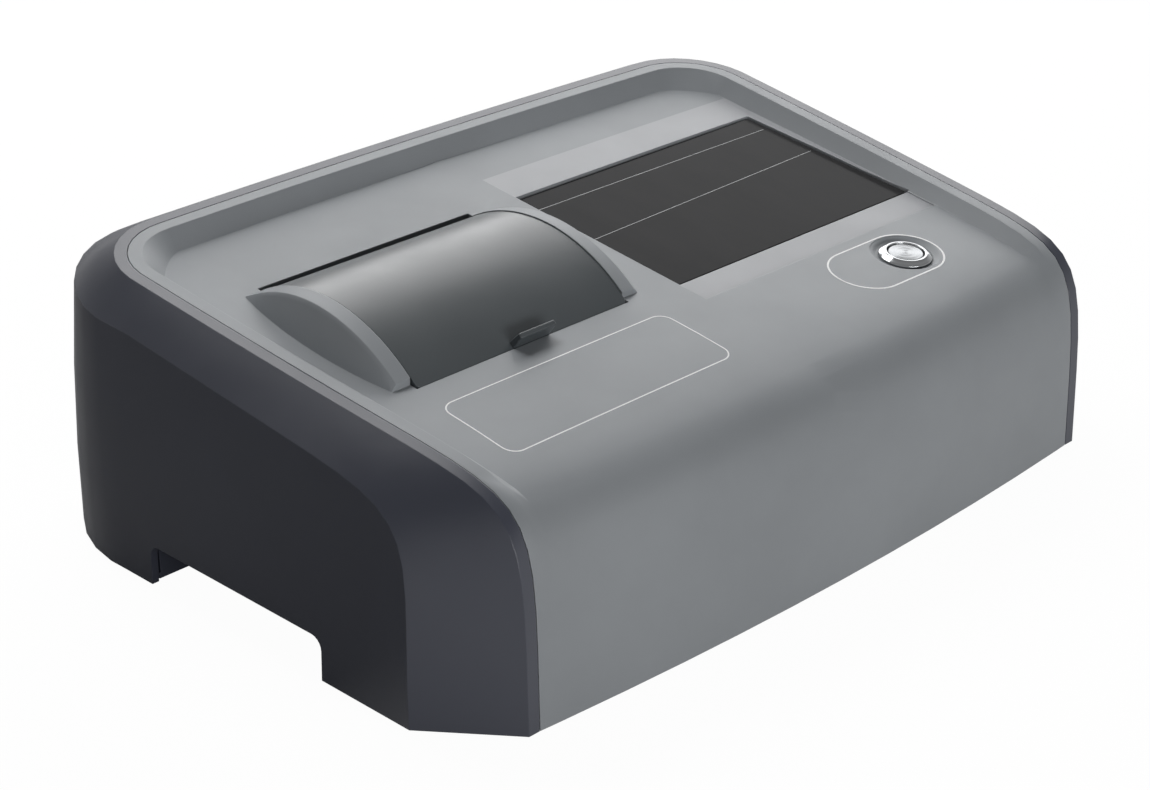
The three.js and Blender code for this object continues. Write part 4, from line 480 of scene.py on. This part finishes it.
def patched(piece, finish, x_range, y_range, height, slope, reach):
    """A second finish on the faces that lie within reach of a plane: height at the front of a rectangle in the
    case's frame, and slope towards the back, in millimetres. The faces are first cut along the rectangle."""
    mesh = piece.data
    work = bmesh.new()
    work.from_mesh(mesh)
    cuts = [((x, 0, 0), (1, 0, 0)) for x in x_range]
    cuts += [((0, y - depth_centre / mm, 0), (0, 1, 0)) for y in y_range]
    for place, facing in cuts:
        bmesh.ops.bisect_plane(work, geom=work.verts[:] + work.edges[:] + work.faces[:], dist=0.001 * mm,
                               plane_co=Vector(place) * mm, plane_no=facing)
    work.to_mesh(mesh)
    work.free()
    centres = np.empty(len(mesh.polygons) * 3)
    mesh.polygons.foreach_get("center", centres)
    x, y, z = (centres.reshape(-1, 3) / mm).T
    y = y + depth_centre / mm
    plane = height + foot_drop / mm + slope * (y - y_range[0])
    in_plan = (x > x_range[0]) & (x < x_range[1]) & (y > y_range[0]) & (y < y_range[1])
    inside = in_plan & (abs(z - plane) < reach)
    mesh.materials.append(finish)
    mesh.polygons.foreach_set("material_index", inside.astype(np.int32))


# Every node but the button's two keeps its own form. Edges stay crisp beyond these angles, in degrees
crisp_angle, shell_crisp_angle = 32, 19
finished = {}
for name in nodes:
    if name not in ("button_bezel", "button_cap"):
        finished[name] = evened(name, shell_crisp_angle if name == "outer_shell" else crisp_angle)

# The pad round the display is moulded smoother than the deck, and its colour is painted lighter than the deck's:
# painted light for the brighter light its face catches.
# Its plane starts below the deck's at the front and climbs above it towards the rear
pad_x = (4.3, 153)
pad_y = (71.7, 200.5)
pad_sunk, pad_climb, pad_reach = 0.6, 1.2, 0.75
pad_height = deck_height + deck_slope * pad_y[0] - pad_sunk
pad_slope = deck_slope + pad_climb / (pad_y[1] - pad_y[0])
# The pad's lighter grey is painted light, not a colour of its own
pad_lit_finish = moulded("pad_painted_light_moulding", linear("a7a9ad"), 0.44, grain_depth=0.006, wear=0.3)
patched(finished["main_cover"], pad_lit_finish, pad_x, pad_y, pad_height, pad_slope, pad_reach)

# Lid's arc in the case's frame: centre (y, z), radius and the angle of its front edge, in millimetres
lid_front, lid_rear, lid_rise = 88.405, 178.402, 15
lid_chord = (lid_rear - lid_front) / math.cos(deck_tilt)
lid_radius = (lid_chord ** 2 / 4 + lid_rise ** 2) / (2 * lid_rise)
lid_middle = (lid_front + lid_rear) / 2
lid_drop = lid_radius - lid_rise
lid_centre = (lid_middle + lid_drop * math.sin(deck_tilt),
              deck_height + deck_slope * lid_middle - lid_drop * math.cos(deck_tilt))
lid_end = deck_tilt + math.pi / 2 + math.asin(lid_chord / 2 / lid_radius)


def smooth_lid_panel(piece):
    """Takes the plain tab off the lid's panel, which is all that stands clear of the arch, and closes the place."""
    clear = 0.3
    work = bmesh.new()
    work.from_mesh(piece.data)
    standing = set()
    for v in work.verts:
        y, z = v.co.y / mm + depth_centre / mm, (v.co.z - foot_drop) / mm
        if math.hypot(y - lid_centre[0], z - lid_centre[1]) > lid_radius + clear:
            standing.add(v)
    bmesh.ops.delete(work, geom=[f for f in work.faces if standing & set(f.verts)], context="FACES")
    rim = [edge for edge in work.edges if edge.is_boundary]
    for face in bmesh.ops.holes_fill(work, edges=rim)["faces"]:
        face.smooth = True
    for edge in rim:
        edge.smooth = True
    work.to_mesh(piece.data)
    work.free()


def pull_tab(name, middle, half_width, setback):
    """Short plank square to the lid's face: a tapering section with a round tip, carried along x, its ends
    drawn in by a small chamfer. Root and tip are (distance from the arch's centre, half thickness); setback is
    along the arch from the lid's front edge."""
    root, tip = (lid_radius - 0.65, 1.65), (lid_radius + 7.5, 1.1)
    nose, chamfer = 0.55, 0.35
    turn = np.radians(np.linspace(0, 90, 5))
    upper = np.stack([tip[0] - nose + nose * np.sin(turn), tip[1] - nose + nose * np.cos(turn)], axis=1)
    lower = (upper * (1, -1))[::-1]
    section = np.vstack([[root], upper, lower, [(root[0], -root[1])]])
    core = np.array([(root[0] + tip[0]) / 2, 0.0])
    drawn_in = core + (section - core) * (1 - 2 * chamfer / (tip[0] - root[0]), 1 - chamfer / tip[1])
    pole = np.broadcast_to(core, section.shape)
    stations = [(-half_width, pole), (-half_width, drawn_in), (chamfer - half_width, section),
                (half_width - chamfer, section), (half_width, drawn_in), (half_width, pole)]
    angle = lid_end - setback / lid_radius
    out, along = np.array([math.cos(angle), math.sin(angle)]), np.array([-math.sin(angle), math.cos(angle)])
    grid = np.stack([np.column_stack([np.full(len(shape), middle + x),
                                      np.array(lid_centre) + shape[:, :1] * out + shape[:, 1:] * along])
                     for x, shape in stations]) * mm
    grid += (0, -depth_centre, foot_drop)
    tab = sheet_mesh(name, grid, along=True)
    curves_shaded(tab, angle=30)
    return placed(tab, body_of("compartment_lid"), finishes["lid_dark"], slot_of["compartment_lid"])


smooth_lid_panel(finished["compartment_lid"])
pull_tab("lid_pull_tab", middle=-71.4, half_width=8.8, setback=1.75)

# Button: polished ring with a sloping face, and a slightly crowned cap turned in fine rings. Profiles are
# (radius, height over the deck) in millimetres
button_x, button_y = 99, 50.895
button_place = (button_x * mm, button_y * mm - depth_centre, (deck_height + deck_slope * button_y) * mm + foot_drop)
ring_metal = turned("polished_ring", linear("b4b6b8"), 0.12, button_place, deck_tilt, depth=0.002, anisotropy=0.3)
cap_metal = turned("turned_cap", linear("96989a"), 0.3, button_place, deck_tilt, depth=0.004, anisotropy=0.9)
ring_profile = [(7.6, -18.4), (2.7, -18.4), (2.7, -20), (9.3, -20), (9.3, -1.2), (10.9, -1.2), (11, -1.1),
                (11, -0.72), (10.9, -0.55), (10.7, -0.42), (10, 0.02), (9.3, 0.42), (8.75, 0.69), (8.5, 0.78),
                (8.3, 0.8), (8.0, 0.8), (7.86, 0.76), (7.76, 0.66), (7.7, 0.5), (7.6, -1.5)]
cap_profile = [(0, -18.4), (2.4, -18.4), (2.4, -3.5), (7.2, -3.5), (7.3, -3.4), (7.3, -1.6), (7.15, -0.1),
               (7.12, 0.06), (7.04, 0.2), (6.9, 0.3), (6.7, 0.36), (4, 0.45), (0, 0.5)]
for name, profile, body, finish in (("button_bezel", ring_profile, "case", ring_metal),
                                    ("button_cap", cap_profile, "test_button", cap_metal)):
    piece = lathe(name + "_finish", profile, button_place, deck_tilt)
    curves_shaded(piece, angle=38)
    placed(piece, body, finish, "steel", name)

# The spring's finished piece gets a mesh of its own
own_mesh(finished["button_spring"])

# Printed lines round places left bare, in the case's frame: frames are rounded_path(x0, x1, y0, y1, radius)
ink_white = moulded("white_ink", linear("ffffff"), 0.4, grain_depth=0.004, edge=0.05, wear=0.0)
ink_pale = moulded("pale_ink", linear("b9bbbc"), 0.45, grain_depth=0.002, edge=0.05, wear=0.0)
label_frame = rounded_path(-128.5, -17.6, 36.2, 74.1, 5.6)
button_frame = rounded_path(59.2, 114.5, 35.6, 66.0, 15.1)
upper_line = np.linspace((6.2, 167.9), (141.6, 167.6), 40)
lower_line = np.linspace((6.2, 135.3), (142.1, 140.0), 40)
printed_line("label_frame_line", label_frame, 0.6, finished["main_cover"], ink_white, closed=True)
printed_line("button_frame_line", button_frame, 0.8, finished["main_cover"], ink_white, closed=True)
printed_line("screen_upper_line", upper_line, 0.3, finished["display_glass"], ink_pale)
printed_line("screen_lower_line", lower_line, 0.3, finished["display_glass"], ink_pale)


# Stage, light and camera

def seen_or_mirrored(tree, coordinate, axis, near, far, start, end):
    """1 for camera and transmission rays. For glossy rays a share that goes from near to far while one axis of a
    texture coordinate goes from start to end."""
    path = tree.nodes.new("ShaderNodeLightPath")
    seen = math_node(tree, "MAXIMUM", path.outputs["Is Camera Ray"], path.outputs["Is Transmission Ray"])
    place = tree.nodes.new("ShaderNodeTexCoord")
    split = tree.nodes.new("ShaderNodeSeparateXYZ")
    tree.links.new(place.outputs[coordinate], split.inputs["Vector"])
    mirrored = remap(tree, split.outputs[axis], near, far, start, end)
    return math_node(tree, "MAXIMUM", seen, math_node(tree, "MULTIPLY", path.outputs["Is Glossy Ray"], mirrored))


def stage_floor():
    """A wide plain floor. It is white to the camera but keeps the object's shadow, and glossy plastic mirrors
    its lit front part more than the rest. From below the view passes through it."""
    width, drop, grey, glow_strength, glow_share = 12, 0.2 * mm, 0.38, 1.08, 0.9
    bpy.ops.mesh.primitive_plane_add(size=width)
    floor = bpy.context.object
    floor.name = "studio_floor"
    material = bpy.data.materials.new("studio_white")
    material.use_nodes = True
    tree = material.node_tree
    tree.nodes.clear()
    output = tree.nodes.new("ShaderNodeOutputMaterial")
    diffuse = tree.nodes.new("ShaderNodeBsdfDiffuse")
    diffuse.inputs["Color"].default_value = (grey, grey, grey, 1)
    glow = tree.nodes.new("ShaderNodeEmission")
    glow.inputs["Color"].default_value = (1, 1, 1, 1)
    glow.inputs["Strength"].default_value = glow_strength
    seen = seen_or_mirrored(tree, "Object", "Y", near=1.0, far=0.05, start=-0.16, end=-0.05)
    mix = tree.nodes.new("ShaderNodeMixShader")
    tree.links.new(math_node(tree, "MULTIPLY", seen, glow_share), mix.inputs["Fac"])
    tree.links.new(diffuse.outputs["BSDF"], mix.inputs[1])
    tree.links.new(glow.outputs["Emission"], mix.inputs[2])
    beneath = tree.nodes.new("ShaderNodeBsdfTransparent")
    side = tree.nodes.new("ShaderNodeNewGeometry")
    sheet = tree.nodes.new("ShaderNodeMixShader")
    tree.links.new(side.outputs["Backfacing"], sheet.inputs["Fac"])
    tree.links.new(mix.outputs["Shader"], sheet.inputs[1])
    tree.links.new(beneath.outputs["BSDF"], sheet.inputs[2])
    tree.links.new(sheet.outputs["Shader"], output.inputs["Surface"])
    floor.location.z = -drop
    floor.data.materials.append(material)


def studio_world(strength, walls, ceiling):
    """Even pale surroundings, white to the camera; in reflections the walls are bright and the ceiling dimmer."""
    world = bpy.data.worlds.new("studio_surroundings")
    bpy.context.scene.world = world
    world.use_nodes = True
    tree = world.node_tree
    background = tree.nodes["Background"]
    background.inputs["Color"].default_value = (1, 1, 1, 1)
    seen = seen_or_mirrored(tree, "Generated", "Z", near=walls, far=ceiling, start=0.1, end=0.55)
    tree.links.new(remap(tree, seen, strength, 1.0), background.inputs["Strength"])


def soft_light(name, place, target, width, height, power):
    """A rectangular softbox that faces a target; metres and watts."""
    data = bpy.data.lights.new(name, "AREA")
    data.shape = "RECTANGLE"
    data.size = width
    data.size_y = height
    data.energy = power
    lamp = bpy.data.objects.new(name, data)
    bpy.context.scene.collection.objects.link(lamp)
    lamp.location = place
    lamp.rotation_euler = (Vector(target) - Vector(place)).to_track_quat("-Z", "Y").to_euler()


stage_floor()
studio_world(strength=0.07, walls=0.9, ceiling=0.3)
soft_light("rear_top_softbox", (0.0, 0.75, 1.2), (0, 0.02, 0.07), 0.8, 0.6, 8.3)
soft_light("rear_right_softbox", (1.1, 0.85, 0.8), (0.04, 0.02, 0.08), 1.5, 1.1, 13)
soft_light("front_softbox", (-0.25, -1.5, 0.3), (0.02, -0.1, 0.05), 1.0, 0.35, 9.5)

# The photograph's camera, solved from the case's edges
camera_elevation, camera_azimuth = 26.96, -43.62
camera_data = bpy.data.cameras.new("photo_camera")
camera_data.sensor_width = 36
camera_data.lens = 74.085
camera = bpy.data.objects.new("photo_camera", camera_data)
bpy.context.scene.collection.objects.link(camera)
camera.location = (-0.60181, -0.49137 - depth_centre, 0.46814 + foot_drop)
camera.rotation_euler = (math.radians(90 - camera_elevation), 0, math.radians(camera_azimuth))
bpy.context.scene.camera = camera
bpy.context.scene.view_settings.view_transform = "Standard"

bpy.context.view_layer.update()
